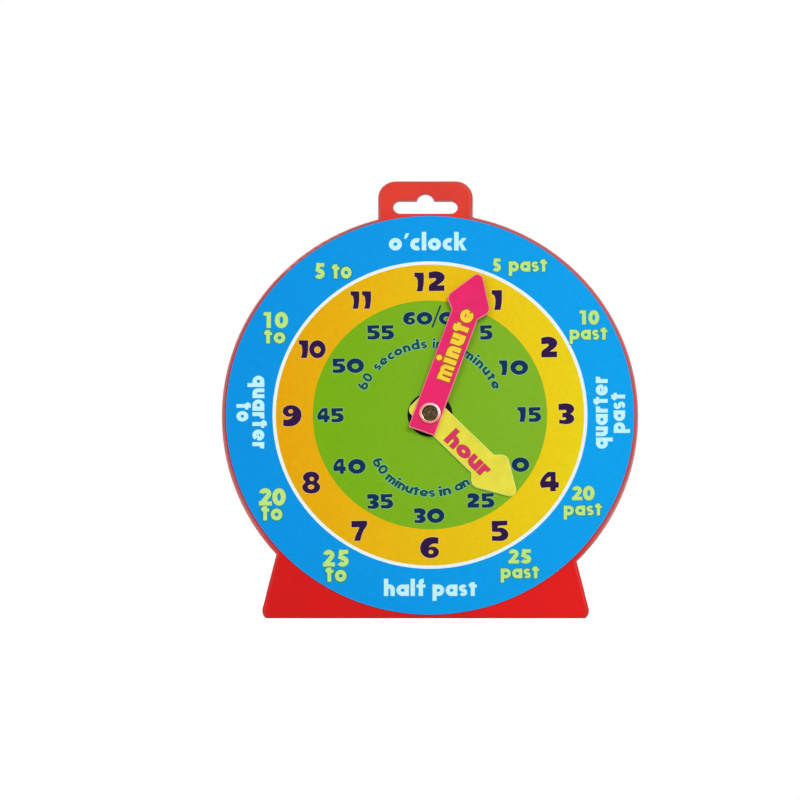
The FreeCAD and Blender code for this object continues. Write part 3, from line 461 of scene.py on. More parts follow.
def lay_curve(mesh, text, centre, radius, start, end, edge, height=3.4, weight=0.32, width=0.5):
    """Set a word on a circle from one clock angle to another; letters stand outwards going clockwise."""
    placed = []
    x = 0.0
    for sign in text:
        if sign.isdigit():
            thin = plain_figure(sign, weight / FIGURE_HEIGHT)
            pieces = [[(px * FIGURE_HEIGHT, py * FIGURE_HEIGHT) for px, py in piece] for piece in thin]
            wide = FIGURE_WIDTH * FIGURE_HEIGHT
        else:
            pieces, wide = letter(sign, weight)
        placed.append((x + wide / 2, wide, pieces))
        x += wide + CURVE_GAP
    total = x - CURVE_GAP
    stretch = abs(math.radians(end - start)) * radius / total
    for middle, wide, pieces in placed:
        angle = math.radians(start + (end - start) * middle / total)
        spot = (centre[0] + radius * math.sin(angle), centre[1] + radius * math.cos(angle), 0)
        place = (
            BOARD
            @ Matrix.Translation(spot)
            @ Matrix.Rotation(-angle if end > start else math.pi - angle, 4, "Z")
            @ Matrix.Translation((-wide / 2 * stretch, 0, 0))
        )
        lay_edged(mesh, sized(flat_shape(pieces), stretch, height), place, WORD_INK, edge, width)


def lay_box(mesh, shape, box, edge, width):
    """Set a shape of unit size between the left, right, low and high sides of a box on the board."""
    left, right, low, high = box
    place = BOARD @ Matrix.Translation((left, low, 0))
    lay_edged(mesh, sized(shape, right - left, high - low), place, WORD_INK, edge, width)


def ink_piece(mesh, name, ink, left, right=None, body="case", slot="dial_print"):
    """Turn finished bmesh data into a piece of one ink that rides on a body.

    The ink's colour changes over the dial where a second one is given, from painted shade on the left to
    painted light on the right.
    """
    data = bpy.data.meshes.new(name)
    mesh.to_mesh(data)
    mesh.free()
    data.materials.append(printed_ink(ink, left, right))
    piece = bpy.data.objects.new(name, data)
    bpy.context.scene.collection.objects.link(piece)
    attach(piece, body)


def print_figures(boxes, name, ink, hue, ground):
    """Print fat figures in their boxes, each on a thin paler halo that keeps it clear of the ground."""
    figures, halo = bmesh.new(), bmesh.new()
    for sign, *box in boxes:
        outline, holes = fat_figure(sign)
        lay_box(figures, flat_shape([outline], holes), box, halo, width=0.6)
    ink_piece(figures, name, "Litho ink, " + hue, ink)
    # a halo is its ground, 15 % of the way to white
    pale = [[0.85 * c + 0.15 for c in side] for side in ground]
    ink_piece(halo, name + "_halo", "Litho ink, halo of " + name, *pale)


# Materials


def fill(tree, node, inputs):
    """Fill a node's inputs with values or links, by their names or in the order in which it shows them.

    A node among the values stands for the first of its outputs that is in use.
    """
    if isinstance(inputs, dict):
        pairs = [(node.inputs[name], value) for name, value in inputs.items()]
    else:
        pairs = zip([socket for socket in node.inputs if socket.enabled], inputs)
    for socket, value in pairs:
        if isinstance(value, bpy.types.Node):
            value = next(output for output in value.outputs if output.enabled)
        if isinstance(value, bpy.types.NodeSocket):
            tree.links.new(value, socket)
        else:
            socket.default_value = value


def add_node(tree, kind, inputs=(), **settings):
    """Add a node, make its settings, and fill its inputs.

    In their order, a map range shows its value, where that starts and ends, and what it then starts and
    ends at, and a noise shows its place, scale and detail.
    """
    node = tree.nodes.new("ShaderNode" + kind)
    for name, value in settings.items():
        setattr(node, name, value)
    fill(tree, node, inputs)
    return node


def new_finish(name, **constants):
    """A material, its tree, its shader with plain values on its own sockets, and the object's place."""
    material = bpy.data.materials.new(name)
    material.use_nodes = True
    tree = material.node_tree
    shader = tree.nodes["Principled BSDF"]
    fill(tree, shader, {socket.replace("_", " "): value for socket, value in constants.items()})
    place = add_node(tree, "TexCoord").outputs["Object"]
    return material, tree, shader, place


def rgba(value):
    """A linear colour, or one given as sRGB hex, with full opacity."""
    return (*(linear(value) if isinstance(value, str) else value[:3]), 1.0)


def painted_light_across_dial(tree, place, left, right):
    """A colour that changes from left to right over the dial, from painted shade to painted light."""
    parts = add_node(tree, "SeparateXYZ", {"Vector": place})
    share = add_node(tree, "MapRange", [parts.outputs["X"], -PAINTED_LIGHT_SPREAD, PAINTED_LIGHT_SPREAD])
    return add_node(tree, "Mix", [share, rgba(left), rgba(right)], data_type="RGBA")


def clouded(tree, base, noise, darkest, lightest, least=0.3, most=0.7):
    """A base colour that a noise makes darker and lighter, within two shades of it."""
    shade = add_node(tree, "MapRange", [noise, least, most, darkest, lightest])
    return add_node(tree, "VectorMath", [base, shade], operation="SCALE")


def surfaced(tree, shader, base, worn, low, high, skin, strength, depth):
    """Give a shader its colour, a polish that varies between two roughnesses, and a fine bumpy skin."""
    rub = add_node(tree, "MapRange", [worn, 0.0, 1.0, low, high])
    bump = add_node(tree, "Bump", {"Height": skin, "Strength": strength, "Distance": depth})
    fill(tree, shader, {"Base Color": base, "Roughness": rub, "Normal": bump})
    return bump


def moulded_red(name, look, grain, roughness):
    """Injection-moulded polystyrene with a satin surface.

    The tool's spark-eroded skin gives a fine grain that breaks up highlights, the melt's flow gives faint
    lighter and darker clouds, and handling has polished it unevenly. The rounded front edge of the disc is
    painted with shade, a dark brownish pink beside the card, and with light, a paler pink where it turns to
    the side; the back has the round marks of the tool's ejector pins.
    """
    material, tree, shader, place = new_finish(name, IOR=1.59, Specular_IOR_Level=0.14, Metallic=0.0)
    # painted shade on the left of the board and painted light on its right
    sides = painted_light_across_dial(tree, place, look.red_left, look.red_right)
    parts = add_node(tree, "SeparateXYZ", {"Vector": place})
    height = parts.outputs["Z"]
    # the loop, from 170 mm up, is the thinnest part, and is painted a paler red, as painted light on the
    # top of the board
    painted_top_light = add_node(tree, "MapRange", [height, 0.17, 0.205])
    base = add_node(tree, "Mix", [painted_top_light, sides, rgba(look.red_top)], data_type="RGBA")
    # clouds of the melt are about 25 mm across
    flow = add_node(tree, "TexNoise", [place, 40.0, 3.0])
    tinted = clouded(tree, base, flow, 0.93, 1.05)
    normal = add_node(tree, "NewGeometry").outputs["Normal"]
    facing = add_node(tree, "VectorMath", [normal, tuple(FACE_OUT)], operation="DOT_PRODUCT")
    # where the rounded front edge turns from the face, the rim takes its painted shade and painted light
    painted_rim = add_node(tree, "ValToRGB", [facing])
    stops = painted_rim.color_ramp.elements
    stops[1].position = 0.998
    stops[1].color = (0, 0, 0, 1)
    for position in (0.05, 0.96):
        stops.new(position).color = (1, 1, 1, 1)
    # the painted rim shade and light are mostly kept off the loop's edge above the disc and the foot's
    # below
    for low, high, least, most in ((0.196, 0.206, 1.0, 0.2), (0.028, 0.05, 0.12, 1.0)):
        rim_limit = add_node(tree, "MapRange", [height, low, high, least, most])
        painted_rim = add_node(tree, "Math", [painted_rim, rim_limit], operation="MULTIPLY")
    # painted shade beside the card turns to painted light where the rim faces sideways
    turned = add_node(tree, "MapRange", [facing, 0.97, 0.6])
    rim = add_node(tree, "Mix", [turned, rgba(look.rim_shade_inner), rgba(look.rim_light_outer)], data_type="RGBA")
    final = add_node(tree, "Mix", [painted_rim, tinted, rim], data_type="RGBA")
    worn = add_node(tree, "TexNoise", [place, 90.0, 4.0])
    skin = add_node(tree, "TexNoise", [place, 1 / grain, 2.0])
    bump = surfaced(tree, shader, final, worn, roughness - 0.06, roughness + 0.08, skin, 0.35, 0.00003)
    # the pins are 5 mm across, and each leaves a shallow step only on the back
    along = add_node(tree, "VectorMath", [place, tuple(FACE_UP)], operation="DOT_PRODUCT")
    spot = add_node(tree, "CombineXYZ", {"X": parts.outputs["X"], "Y": along})
    pins = add_node(
        tree, "TexVoronoi", {"Vector": spot, "Scale": 1 / PIN_SPACING, "Randomness": 0.0},
        voronoi_dimensions="2D",
    )
    disc = add_node(tree, "MapRange", [pins, 0.056, 0.068, 1.0, 0.0])
    behind = add_node(tree, "MapRange", [facing, -0.98, -0.9, 1.0, 0.0])
    marks = add_node(tree, "Math", [disc, behind], operation="MULTIPLY")
    step = add_node(
        tree, "Bump", {"Height": marks, "Normal": bump, "Strength": 0.8, "Distance": 0.0001}, invert=True
    )
    fill(tree, shader, {"Normal": step})
    return material


def printed_ink(name, left, right=None, roughness=0.42):
    """Offset litho ink on coated card under a thin film laminate.

    The film gives a soft sheen over flat, strong colour. The press lays the ink down a little unevenly, and
    the card's fibres show through the film as a very fine unevenness.
    """
    material, tree, shader, place = new_finish(name, IOR=1.5, Specular_IOR_Level=0.07, Metallic=0.0)
    # where a second colour is given, painted shade on the left and painted light on the right
    base = painted_light_across_dial(tree, place, left, right or left)
    # the press's mottle is about 2 mm across, and the finer one stands for the screen's dots,
    # which are 0.17 mm apart on the real card and are drawn at 0.6 mm so that they show
    mottle = add_node(tree, "TexNoise", [place, 480.0, 3.0])
    dots = add_node(tree, "TexVoronoi", {"Vector": place, "Scale": 1650.0})
    both = add_node(tree, "Math", [dots, 0.35, mottle], operation="MULTIPLY_ADD")
    tinted = clouded(tree, base, both, 0.95, 1.05, 0.35, 1.0)
    fibre = add_node(tree, "TexNoise", [place, 1400.0, 2.0])
    surfaced(tree, shader, tinted, mottle, roughness - 0.08, roughness + 0.08, fibre, 0.15, 0.00002)
    return material


def moulded_hand(name, body, edge):
    """Injection-moulded coloured polystyrene of a hand.

    The flat front is even and glossy, and the rounded edge is painted paler, a painted highlight of light
    catching it.
    """
    material, tree, shader, place = new_finish(name, IOR=1.59, Specular_IOR_Level=0.14, Metallic=0.0)
    # within 0.8 mm of an edge the rounded normal leans away from the face; there a highlight is painted
    normal = add_node(tree, "Bevel", {"Radius": 0.0008}, samples=6)
    facing = add_node(tree, "VectorMath", [normal, tuple(FACE_OUT)], operation="DOT_PRODUCT")
    edge_highlight_mask = add_node(tree, "MapRange", [facing, 0.75, 0.995, 1.0, 0.0])
    # the colour's clouds are about 8 mm across
    cloud = add_node(tree, "TexNoise", [place, 130.0, 3.0])
    tinted = clouded(tree, tuple(body), cloud, 0.92, 1.06)
    # the painted highlight is mixed in along the edge
    mix = add_node(tree, "Mix", [edge_highlight_mask, tinted, rgba(edge)], data_type="RGBA")
    scuff = add_node(tree, "TexNoise", [place, 500.0, 5.0])
    surfaced(tree, shader, mix, scuff, 0.26, 0.42, scuff, 0.2, 0.00002)
    return material


def moulded_acetal(name, base, roughness):
    """Moulded acetal, as used for small gears and the hub.

    It has a waxy, slightly uneven sheen and fine flow marks from the gate.
    """
    material, tree, shader, place = new_finish(name, IOR=1.48, Specular_IOR_Level=0.08, Metallic=0.0)
    flow = add_node(tree, "TexNoise", {"Vector": place, "Scale": 260.0, "Detail": 4.0, "Distortion": 1.5})
    tinted = clouded(tree, tuple(base), flow, 0.9, 1.08)
    skin = add_node(tree, "TexNoise", [place, 2500.0, 1.0])
    surfaced(tree, shader, tinted, flow, roughness - 0.1, roughness + 0.12, skin, 0.2, 0.00001)
    return material


def punched_nylon(name):
    """Washers punched from clear nylon sheet, which look milky, with fine marks of the rolls."""
    material, tree, shader, place = new_finish(name, IOR=1.53, Transmission_Weight=0.35, Metallic=0.0)
    streak = add_node(tree, "TexNoise", [place, 900.0, 3.0])
    milky = add_node(tree, "Mix", [streak, rgba("#D9DDD8"), rgba("#F1F3EE")], data_type="RGBA")
    rub = add_node(tree, "MapRange", [streak, 0.0, 1.0, 0.3, 0.5])
    fill(tree, shader, {"Base Color": milky, "Roughness": rub})
    return material


def drawn_steel(name, pale, dark, roughness, scratch):
    """Drawn or stamped steel under thin plating.

    The plating is even, with fine drawing scratches and a few duller spots.
    """
    material, tree, shader, place = new_finish(name, Metallic=1.0)
    spots = add_node(tree, "TexNoise", [place, 420.0, 4.0])
    share = add_node(tree, "MapRange", [spots, 0.35, 0.65])
    mix = add_node(tree, "Mix", [share, rgba(dark), rgba(pale)], data_type="RGBA")
    lines = add_node(tree, "TexNoise", [place, 1 / scratch, 2.0])
    surfaced(tree, shader, mix, spots, roughness + 0.1, roughness - 0.06, lines, 0.25, 0.00001)
    return material


def rolled_rivet(name):
    """Nickel-plated steel rivet with a dished head.

    The rolled ring's colours are painted reflections: peach from what stands round it, a band of pink from
    the pink hand in the groove that runs round it, and a thin polished lip outside that shows peach too.
    The dish is dull and brown, with blotches of old lacquer.
    """
    material, tree, shader, place = new_finish(name, Metallic=1.0)
    arm = add_node(tree, "VectorMath", [place, tuple(DIAL_CENTRE)], operation="SUBTRACT")
    side = add_node(tree, "VectorMath", [arm, tuple(FACE_OUT)], operation="CROSS_PRODUCT")
    radius = add_node(tree, "VectorMath", [side], operation="LENGTH")
    # the dish ends and the ring begins about 4 mm from the middle
    ring = add_node(tree, "MapRange", [radius, 0.00395, 0.00415], interpolation_type="SMOOTHSTEP")
    blotch = add_node(tree, "TexNoise", {"Vector": place, "Scale": 900.0, "Detail": 4.0, "Distortion": 1.0})
    share = add_node(tree, "MapRange", [blotch, 0.38, 0.62])
    dish = add_node(tree, "Mix", [share, rgba("#241B15"), rgba("#5A4C34")], data_type="RGBA")
    bands = add_node(tree, "MapRange", [radius, 0.0039, 0.0053])
    # the ring's bands are painted reflections: peach ones of what stands round it, and a pink one of the
    # pink hand
    rings = add_node(tree, "ValToRGB", [bands])
    stops = rings.color_ramp.elements
    stops[0].color = rgba("#F6C8A4")
    stops[1].color = rgba("#EEB488")
    for position, code in ((0.28, "#F4C2A0"), (0.42, "#D0446C"), (0.62, "#D0446C"), (0.76, "#F2BE98")):
        stops.new(position).color = rgba(code)
    # a painted highlight of the lamp makes the ring paler towards the upper right
    upper = add_node(tree, "VectorMath", [arm, (0.6, 0.0, 0.8)], operation="DOT_PRODUCT")
    ring_highlight = add_node(tree, "MapRange", [upper, 0.0, 0.004, 0.0, 0.5])
    plated = add_node(tree, "Mix", [ring_highlight, rings, rgba("#FCDDE8")], data_type="RGBA")
    mix = add_node(tree, "Mix", [ring, dish, plated], data_type="RGBA")
    surfaced(tree, shader, mix, ring, 0.42, 0.2, blotch, 0.3, 0.00003)
    return material


def finish_nodes(material, *names):
    """Give CAD nodes a new material and leave their shape as it is."""
    for name in names:
        slots = frame["nodes"][name].data.materials
        slots.clear()
        slots.append(material)


# Operators


class CLOCK_OT_mould_case(bpy.types.Operator):
    """Give the board, the gear cover and the leg their moulded red"""
    bl_idname = "clock.mould_case"
    bl_label = "Mould the case"

    def execute(self, context):
        look = context.scene.clock_mouldings
        board = moulded_red("Moulded red polystyrene, satin", look, look.grain, 0.36)
        finish_nodes(board, "clock_board", "prop_leg")
        cover = moulded_red("Moulded red polystyrene, fine matt", look, look.grain * 0.7, 0.5)
        finish_nodes(cover, "gear_cover")
        return {"FINISHED"}


class CLOCK_OT_print_card(bpy.types.Operator):
    """Print the blue card and lay its white, yellow and green rings"""
    bl_idname = "clock.print_card"
    bl_label = "Print the card"

    def execute(self, context):
        look = context.scene.clock_print
        # the blue card and the yellow and green rings are painted darker on the left and lighter on the
        # right, as painted shade and painted light
        blue = printed_ink("Litho ink on laminated card, blue", look.blue_left, look.blue_right)
        finish_nodes(blue, "dial_card")
        for hue, inner, outer, left, right in (
            ("white", look.yellow_radius, look.white_radius, look.white, None),
            ("yellow", look.green_radius, look.yellow_radius, look.yellow_left, look.yellow_right),
            ("green", look.bore_radius, look.green_radius, look.green_left, look.green_right),
        ):
            mesh = bmesh.new()
            turns = [math.tau * i / RING_SIDES for i in range(RING_SIDES)]
            low, high = RING_INK
            near, far = inner * 1000, outer * 1000
            circles = [
                [mesh.verts.new(BOARD @ Vector((r * math.cos(t), r * math.sin(t), z))) for t in turns]
                for r, z in ((near, high), (far, high), (far, low), (near, low))
            ]
            for one, two in zip(circles, circles[1:] + circles[:1]):
                for i in range(RING_SIDES):
                    j = (i + 1) % RING_SIDES
                    mesh.faces.new((one[i], two[i], two[j], one[j]))
            ink_piece(mesh, "ring_" + hue, "Litho ink on laminated card, " + hue, left, right)
        return {"FINISHED"}


class CLOCK_OT_print_hours(bpy.types.Operator):
    """Print the twelve fat hour numbers on the yellow ring"""
    bl_idname = "clock.print_hours"
    bl_label = "Print the hour numbers"

    # each figure, with the left, right, low and high sides of its box on the board
    boxes = (
        ("1", 30.6, 35.7, 53.2, 63.3), ("2", 55.1, 63.1, 29.1, 39.6), ("3", 63.6, 71.4, -4.8, 5.8),
        ("4", 54.4, 63.7, -38.8, -28.9), ("5", 30.4, 38.7, -63.9, -53.6), ("6", -4.9, 4.4, -72.6, -61.9),
        ("7", -38.9, -31.0, -63.9, -53.7), ("8", -63.2, -54.3, -39.9, -28.8),
        ("9", -72.9, -63.6, -5.9, 4.9), ("1", -65.0, -60.3, 28.8, 37.8), ("0", -59.8, -51.7, 28.7, 37.8),
        ("1", -39.4, -35.0, 53.8, 62.7), ("1", -33.7, -29.2, 53.8, 62.7), ("1", -7.8, -3.0, 62.7, 72.2),
        ("2", -0.6, 7.3, 62.8, 72.9),
    )

    def execute(self, context):
        look = context.scene.clock_print
        ground = (look.yellow_left, look.yellow_right)
        print_figures(self.boxes, "hour_numbers", look.hour_ink, "purple", ground)
        return {"FINISHED"}


class CLOCK_OT_print_minutes(bpy.types.Operator):
    """Print the fat minute numbers on the green disc"""
    bl_idname = "clock.print_minutes"
    bl_label = "Print the minute numbers"

    # each figure, with the left, right, low and high sides of its box on the board
    boxes = (
        ("5", 24.8, 31.0, 38.1, 45.5), ("1", 34.2, 38.3, 20.1, 27.6), ("0", 39.8, 48.6, 20.3, 27.7),
        ("1", 43.2, 47.4, -3.6, 3.9), ("5", 48.8, 55.0, -3.6, 3.9), ("2", 33.4, 39.2, -29.0, -21.6),
        ("0", 40.4, 49.1, -29.0, -21.6), ("2", 18.5, 24.4, -47.1, -39.7), ("5", 25.5, 31.8, -47.1, -39.7),
        ("3", -7.9, -2.1, -54.9, -47.3), ("0", -1.5, 7.1, -54.8, -47.4), ("3", -31.1, -25.2, -47.7, -40.1),
        ("5", -24.4, -18.2, -47.5, -40.1), ("4", -47.9, -41.7, -30.0, -22.3),
        ("0", -40.5, -31.9, -29.9, -22.4), ("4", -55.8, -49.7, -3.9, 3.4), ("5", -48.9, -42.7, -3.8, 3.4),
        ("5", -48.3, -41.9, 21.2, 28.6), ("0", -41.3, -32.7, 21.2, 28.6), ("5", -31.1, -24.8, 38.2, 45.5),
        ("5", -24.0, -17.8, 38.2, 45.5), ("6", -13.3, -7.4, 45.7, 52.2), ("0", -6.6, 1.2, 45.7, 52.2),
        ("0", 4.4, 12.2, 45.7, 52.2),
    )

    def execute(self, context):
        look = context.scene.clock_print
        ground = (look.green_left, look.green_right)
        print_figures(self.boxes, "minute_numbers", look.minute_ink, "navy", ground)
        mesh = bmesh.new()
        stroke = flat_shape(band([(1.1, 44.3), (5.3, 55.6)], 0.8))
        lay_film(mesh, stroke, BOARD, WORD_INK)
        ink_piece(mesh, "minute_stroke", "Litho ink, navy stroke", look.minute_ink)
        return {"FINISHED"}


class CLOCK_OT_print_ring_words(bpy.types.Operator):
    """Print the time-telling words on the blue ring"""
    bl_idname = "clock.print_ring_words"
    bl_label = "Print the ring's words"

    # each line: its word, where its base line starts on the board, its turn, its span, the height of its
    # small letters, and for the lime ones the width of the darker edge
    white_lines = (
        ("o'clock", (-20.4, 83.5), 0, 38.4, 6.3),
        ("half", (-22.8, -91.7), 0, 20.4, 5.8),
        ("past", (1.2, -91.7), 0, 22.0, 5.8),
        ("quarter", (88.0, -17.2), 90, 36.6, 5.9),
        ("past", (96.6, -9.2), 90, 20.4, 5.7),
        ("quarter", (-87.9, 19.8), -90, 37.0, 5.9),
        ("to", (-95.8, 6.3), -90, 9.7, 5.9),
    )
    lime_lines = (
        ("past", (39.1, 72.7), 0, 19.1, 5.2, 0.74),
        ("past", (69.2, 38.1), 0, 18.8, 5.1, 0.74),
        ("past", (66.1, -51.0), 0, 19.0, 5.0, 0.74),
        ("past", (34.9, -82.8), 0, 19.1, 5.0, 0.74),
        ("to", (-51.7, -84.5), 0, 10.4, 6.0, 1.04),
        ("to", (-83.5, -53.5), 0, 10.5, 6.0, 1.04),
        ("to", (-82.2, 36.2), 0, 10.5, 5.7, 1.04),
        ("to", (-48.6, 69.2), 0, 9.7, 6.0, 1.04),
    )
    # each figure, with the left, right, low and high sides of its box on the board
    lime_figures = (
        ("5", 30.9, 35.2, 72.7, 79.4), ("1", 74.1, 77.3, 45.8, 53.0), ("0", 78.5, 83.9, 45.7, 53.1),
        ("2", 70.2, 75.3, -43.3, -36.1), ("0", 75.6, 81.4, -43.4, -36.0), ("2", 38.7, 44.0, -75.3, -68.1),
        ("5", 44.5, 50.0, -75.4, -68.1), ("2", -52.9, -47.0, -76.8, -68.4),
        ("5", -46.0, -40.2, -76.9, -68.4), ("2", -84.6, -78.2, -46.0, -37.2),
        ("0", -78.0, -71.3, -46.1, -37.2), ("1", -82.5, -78.8, 44.0, 52.1), ("0", -76.9, -70.3, 43.9, 52.2),
        ("5", -57.2, -52.2, 69.0, 77.1),
    )

    def execute(self, context):
        look = context.scene.clock_print
        mesh = bmesh.new()
        for text, *line in self.white_lines:
            lay_line(mesh, text, BOARD, *line, weight=0.36, levels=WORD_INK)
        ink_piece(mesh, "ring_words_white", "Litho ink, white", look.white_ink)
        mesh, edge = bmesh.new(), bmesh.new()
        for text, *line, width in self.lime_lines:
            lay_line(mesh, text, BOARD, *line, weight=0.34, levels=WORD_INK, edge=edge, width=width)
        for sign, *box in self.lime_figures:
            pieces = plain_figure(sign, w=0.27)
            wide = max(p[0] for piece in pieces for p in piece)
            fitted = [[(p[0] / wide, p[1]) for p in piece] for piece in pieces]
            lay_box(mesh, flat_shape(fitted), box, edge, width=0.4)
        ink_piece(mesh, "ring_words_lime", "Litho ink, lime", look.lime_ink)
        ink_piece(edge, "ring_words_lime_edge", "Litho ink, edge of the lime words", look.lime_edge)
        return {"FINISHED"}


class CLOCK_OT_print_sentences(bpy.types.Operator):
    """Print the two thin curved sentences on the green disc"""
    bl_idname = "clock.print_sentences"
    bl_label = "Print the curved sentences"

    # each word: its letters and the clock angles at which it starts and ends on its circle
    upper = (
        ("60", -69.0, -55.2),
        ("seconds", -49.4, -2.4),
        ("in", 2.2, 9.6),
        ("a", 14.6, 20.0),
        ("minute", 28.0, 68.6),
    )
    lower = (
        ("60", 243.4, 227.8),
        ("minutes", 224.2, 176.2),
        ("in", 172.2, 161.6),
        ("an", 157.2, 143.2),
        ("hour", 136.0, 115.0),
    )

    def execute(self, context):
        look = context.scene.clock_print
        mesh, edge = bmesh.new(), bmesh.new()
        for words, centre, radius in ((self.upper, (0, 0), 33.8), (self.lower, (0.4, -8.9), 32.7)):
            for text, start, end in words:
                lay_curve(mesh, text, centre, radius, start, end, edge)
        ink_piece(mesh, "curved_sentences", "Litho ink, teal", look.teal_ink)
        ink_piece(edge, "curved_sentences_edge", "Litho ink, edge of the sentences", look.teal_edge)
        return {"FINISHED"}


class CLOCK_OT_dress_hands(bpy.types.Operator):
    """Give the hands their moulded colours and pad-print their words"""
    bl_idname = "clock.dress_hands"
    bl_label = "Dress the hands"

    def execute(self, context):
        mould = context.scene.clock_mouldings
        ink = context.scene.clock_print
        # each hand's second colour is the painted highlight along its rounded edge
        finish_nodes(moulded_hand("Moulded polystyrene, pink", mould.minute_pink, "#FAB0A4"), "minute_hand")
        finish_nodes(moulded_hand("Moulded polystyrene, lemon", mould.hour_yellow, "#FCFC98"), "hour_hand")
        # each word is also its body's name; its edge's width stands before its ink
        for word, slot, board, start, span, height, weight, levels, width, hue, colour_of_word in (
            ("minute", "minute_pink", MINUTE_HAND, (3.6, 18.0), 38.0, 6.5, 0.40, MINUTE_HAND_INK, 1.04,
             "yellow", ink.yellow_ink),
            ("hour", "hour_yellow", HOUR_HAND, (4.5, 14.2), 26.8, 5.6, 0.33, HOUR_HAND_INK, 0.585,
             "magenta", ink.magenta_ink),
        ):
            mesh, edge = bmesh.new(), bmesh.new()
            lay_line(mesh, word, board, start, 90, span, height, weight, levels, edge, width)
            ink_piece(mesh, word + "_word", "Pad-printed ink, " + hue, colour_of_word, None, word, slot)
            label = "Pad-printed ink, edge of the " + hue + " word"
            ink_piece(edge, word + "_word_edge", label, ink.hand_edge, None, word, slot)
        return {"FINISHED"}


class CLOCK_OT_dress_movement(bpy.types.Operator):
    """Give the gears, the hub and the washers their plastics"""
    bl_idname = "clock.dress_movement"
    bl_label = "Dress the movement"

    def execute(self, context):
        look = context.scene.clock_mouldings
        gears = moulded_acetal("Moulded acetal, natural", look.gear_white, 0.38)
        finish_nodes(gears, "hour_wheel", "minute_pipe", "minute_pinion", "idler_gear")
        finish_nodes(moulded_acetal("Moulded acetal, black", look.hub_black, 0.32), "hub_disc")
        finish_nodes(punched_nylon("Punched nylon sheet"), "hand_washer", "idler_washer", "thrust_washer")
        return {"FINISHED"}


class CLOCK_OT_dress_metal(bpy.types.Operator):
    """Give the rivet, the pins, the spring and the screws their metals"""
    bl_idname = "clock.dress_metal"
    bl_label = "Dress the metal"

    def execute(self, context):
        finish_nodes(rolled_rivet("Nickel-plated rolled steel"), "centre_rivet")
        for name, pale, dark, roughness, scratch, nodes in (
            ("Nickel-plated stamped steel", "#C9C6BD", "#9C988E", 0.3, 0.0004, ["rivet_washer"]),
            ("Spring steel, tempered", "#8F8D8A", "#5F5E60", 0.34, 0.0003, ["spring_washer"]),
            ("Drawn steel wire", "#C4C4C2", "#8E8E8E", 0.28, 0.0003, ["idler_pin", "hinge_pin"]),
            ("Zinc-plated screw steel", "#C9CBC6", "#A9A48C", 0.26, 0.0005, ["cover_screws"]),
        ):
            finish_nodes(drawn_steel(name, pale, dark, roughness, scratch), *nodes)
        return {"FINISHED"}


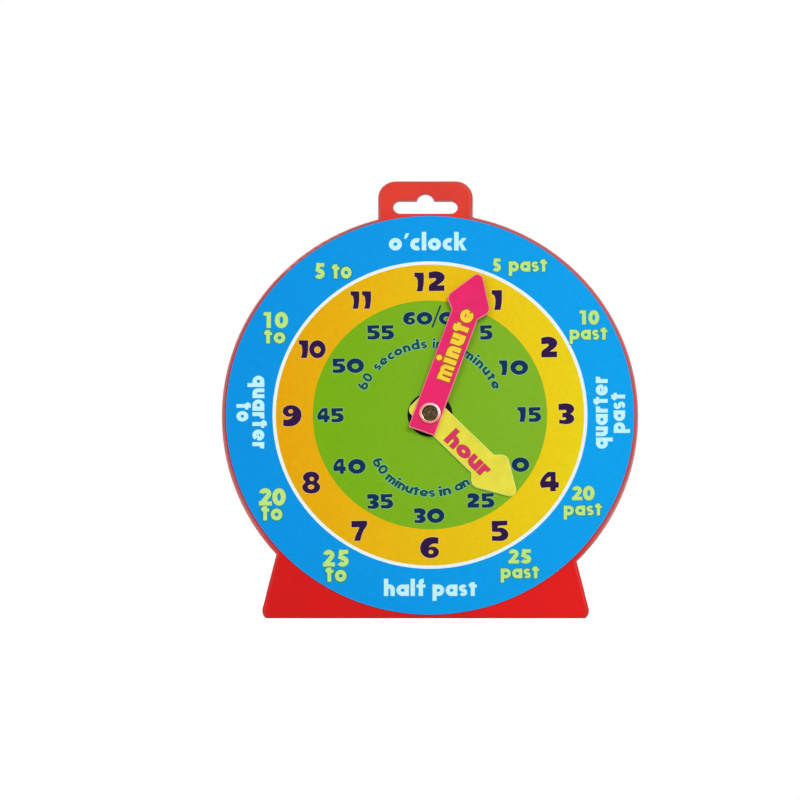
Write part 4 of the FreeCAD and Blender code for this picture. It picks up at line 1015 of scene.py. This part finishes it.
class CLOCK_OT_build_studio(bpy.types.Operator):
    """Lay the pale floor and set the lamps, the even sky and the camera"""
    bl_idname = "clock.build_studio"
    bl_label = "Build the studio"

    def execute(self, context):
        look = context.scene.clock_studio
        scene = context.scene
        mesh = bmesh.new()
        turns = [math.tau * i / FLOOR_SIDES for i in range(FLOOR_SIDES)]
        around = [(look.floor_radius * math.cos(t), look.floor_radius * math.sin(t), 0) for t in turns]
        mesh.faces.new([mesh.verts.new(point) for point in around])
        data = bpy.data.meshes.new("studio_floor")
        mesh.to_mesh(data)
        mesh.free()
        floor = bpy.data.objects.new("studio_floor", data)
        scene.collection.objects.link(floor)
        # matt painted board, pale enough to meet the backdrop, with only the object's shadow on it
        material, tree, shader, place = new_finish(
            "Matt painted studio floor", Roughness=0.9, Base_Color=rgba("#EEEEEE"), IOR=1.45,
            Emission_Color=rgba((1, 1, 1)),
        )
        # the camera sees a glow that grows outwards, so that the floor melts into the backdrop
        reach = add_node(tree, "VectorMath", [place], operation="LENGTH")
        spread = add_node(tree, "MapRange", [reach, 0.1, 0.8, 0.5, 1.0])
        seen = add_node(tree, "LightPath").outputs["Is Camera Ray"]
        glow = add_node(tree, "Math", [seen, spread], operation="MULTIPLY")
        fill(tree, shader, {"Emission Strength": glow})
        data.materials.append(material)

        world = bpy.data.worlds.new("studio_sky")
        world.use_nodes = True
        scene.world = world
        tree = world.node_tree
        tree.nodes.clear()
        path = add_node(tree, "LightPath")
        plain = path.outputs["Is Camera Ray"]
        for ray in ("Is Glossy Ray", "Is Transmission Ray"):
            plain = add_node(tree, "Math", [plain, path.outputs[ray]], operation="MAXIMUM")
        strength = add_node(tree, "MapRange", [plain, 0.0, 1.0, look.sky, 1.0])
        sky = add_node(tree, "Background", {"Color": rgba((1, 1, 1)), "Strength": strength})
        add_node(tree, "OutputWorld", {"Surface": sky})

        for name, power, place, size in (
            ("key_lamp", look.key_power, (0.9, -1.7, 1.6), 1.0),
            ("fill_lamp", look.fill_power, (-1.9, -2.1, 1.2), 1.6),
            ("back_lamp", look.back_power, (-0.7, 2.2, 1.7), 1.4),
        ):
            lamp = bpy.data.lights.new(name, "AREA")
            lamp.energy = power
            lamp.shape = "DISK"
            lamp.size = size
            holder = bpy.data.objects.new(name, lamp)
            holder.location = place
            aim = Vector((0, 0, 0.1)) - Vector(place)
            holder.rotation_euler = aim.to_track_quat("-Z", "Y").to_euler()
            scene.collection.objects.link(holder)

        camera = bpy.data.cameras.new("studio_camera")
        camera.sensor_width = 36
        camera.lens = 36 * look.distance / look.view_width
        camera.clip_end = 100
        eye = bpy.data.objects.new("studio_camera", camera)
        up = Vector((0, math.sin(look.elevation), math.cos(look.elevation)))
        back = Vector((0, -math.cos(look.elevation), math.sin(look.elevation)))
        # the photograph's middle lies 14.85 mm to the left of the dial's centre and 7.4 mm above it
        eye.location = DIAL_CENTRE + Vector((-0.01485, 0, 0)) + up * 0.0074 + back * look.distance
        eye.rotation_euler = (math.radians(90) - look.elevation, 0, 0)
        scene.collection.objects.link(eye)
        scene.camera = eye
        scene.view_settings.view_transform = "Standard"
        return {"FINISHED"}


STEPS = (
    CLOCK_OT_build_studio,
    CLOCK_OT_mould_case,
    CLOCK_OT_print_card,
    CLOCK_OT_print_hours,
    CLOCK_OT_print_minutes,
    CLOCK_OT_print_ring_words,
    CLOCK_OT_print_sentences,
    CLOCK_OT_dress_hands,
    CLOCK_OT_dress_movement,
    CLOCK_OT_dress_metal,
)


class CLOCK_PT_panel(bpy.types.Panel):
    """Lists the steps that dress the clock"""
    bl_label = "Teaching Clock"
    bl_idname = "CLOCK_PT_panel"
    bl_space_type = "VIEW_3D"
    bl_region_type = "UI"
    bl_category = "Teaching Clock"

    def draw(self, context):
        for group in (context.scene.clock_mouldings, context.scene.clock_print, context.scene.clock_studio):
            box = self.layout.box()
            for name in group.__annotations__:
                box.prop(group, name)
        for step in STEPS:
            self.layout.operator(step.bl_idname)


GROUPS = {
    "clock_mouldings": CLOCK_PG_mouldings,
    "clock_print": CLOCK_PG_print,
    "clock_studio": CLOCK_PG_studio,
}


def register():
    for cls in (*GROUPS.values(), *STEPS, CLOCK_PT_panel):
        bpy.utils.register_class(cls)
    for name, group in GROUPS.items():
        setattr(bpy.types.Scene, name, bpy.props.PointerProperty(type=group))


def unregister():
    for name in GROUPS:
        delattr(bpy.types.Scene, name)
    for cls in reversed((*GROUPS.values(), *STEPS, CLOCK_PT_panel)):
        bpy.utils.unregister_class(cls)


def main():
    """Dress the clock step by step."""
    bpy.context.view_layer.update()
    register()
    for step in STEPS:
        group, name = step.bl_idname.split(".")
        getattr(getattr(bpy.ops, group), name)()


if __name__ == "__main__":
    main()
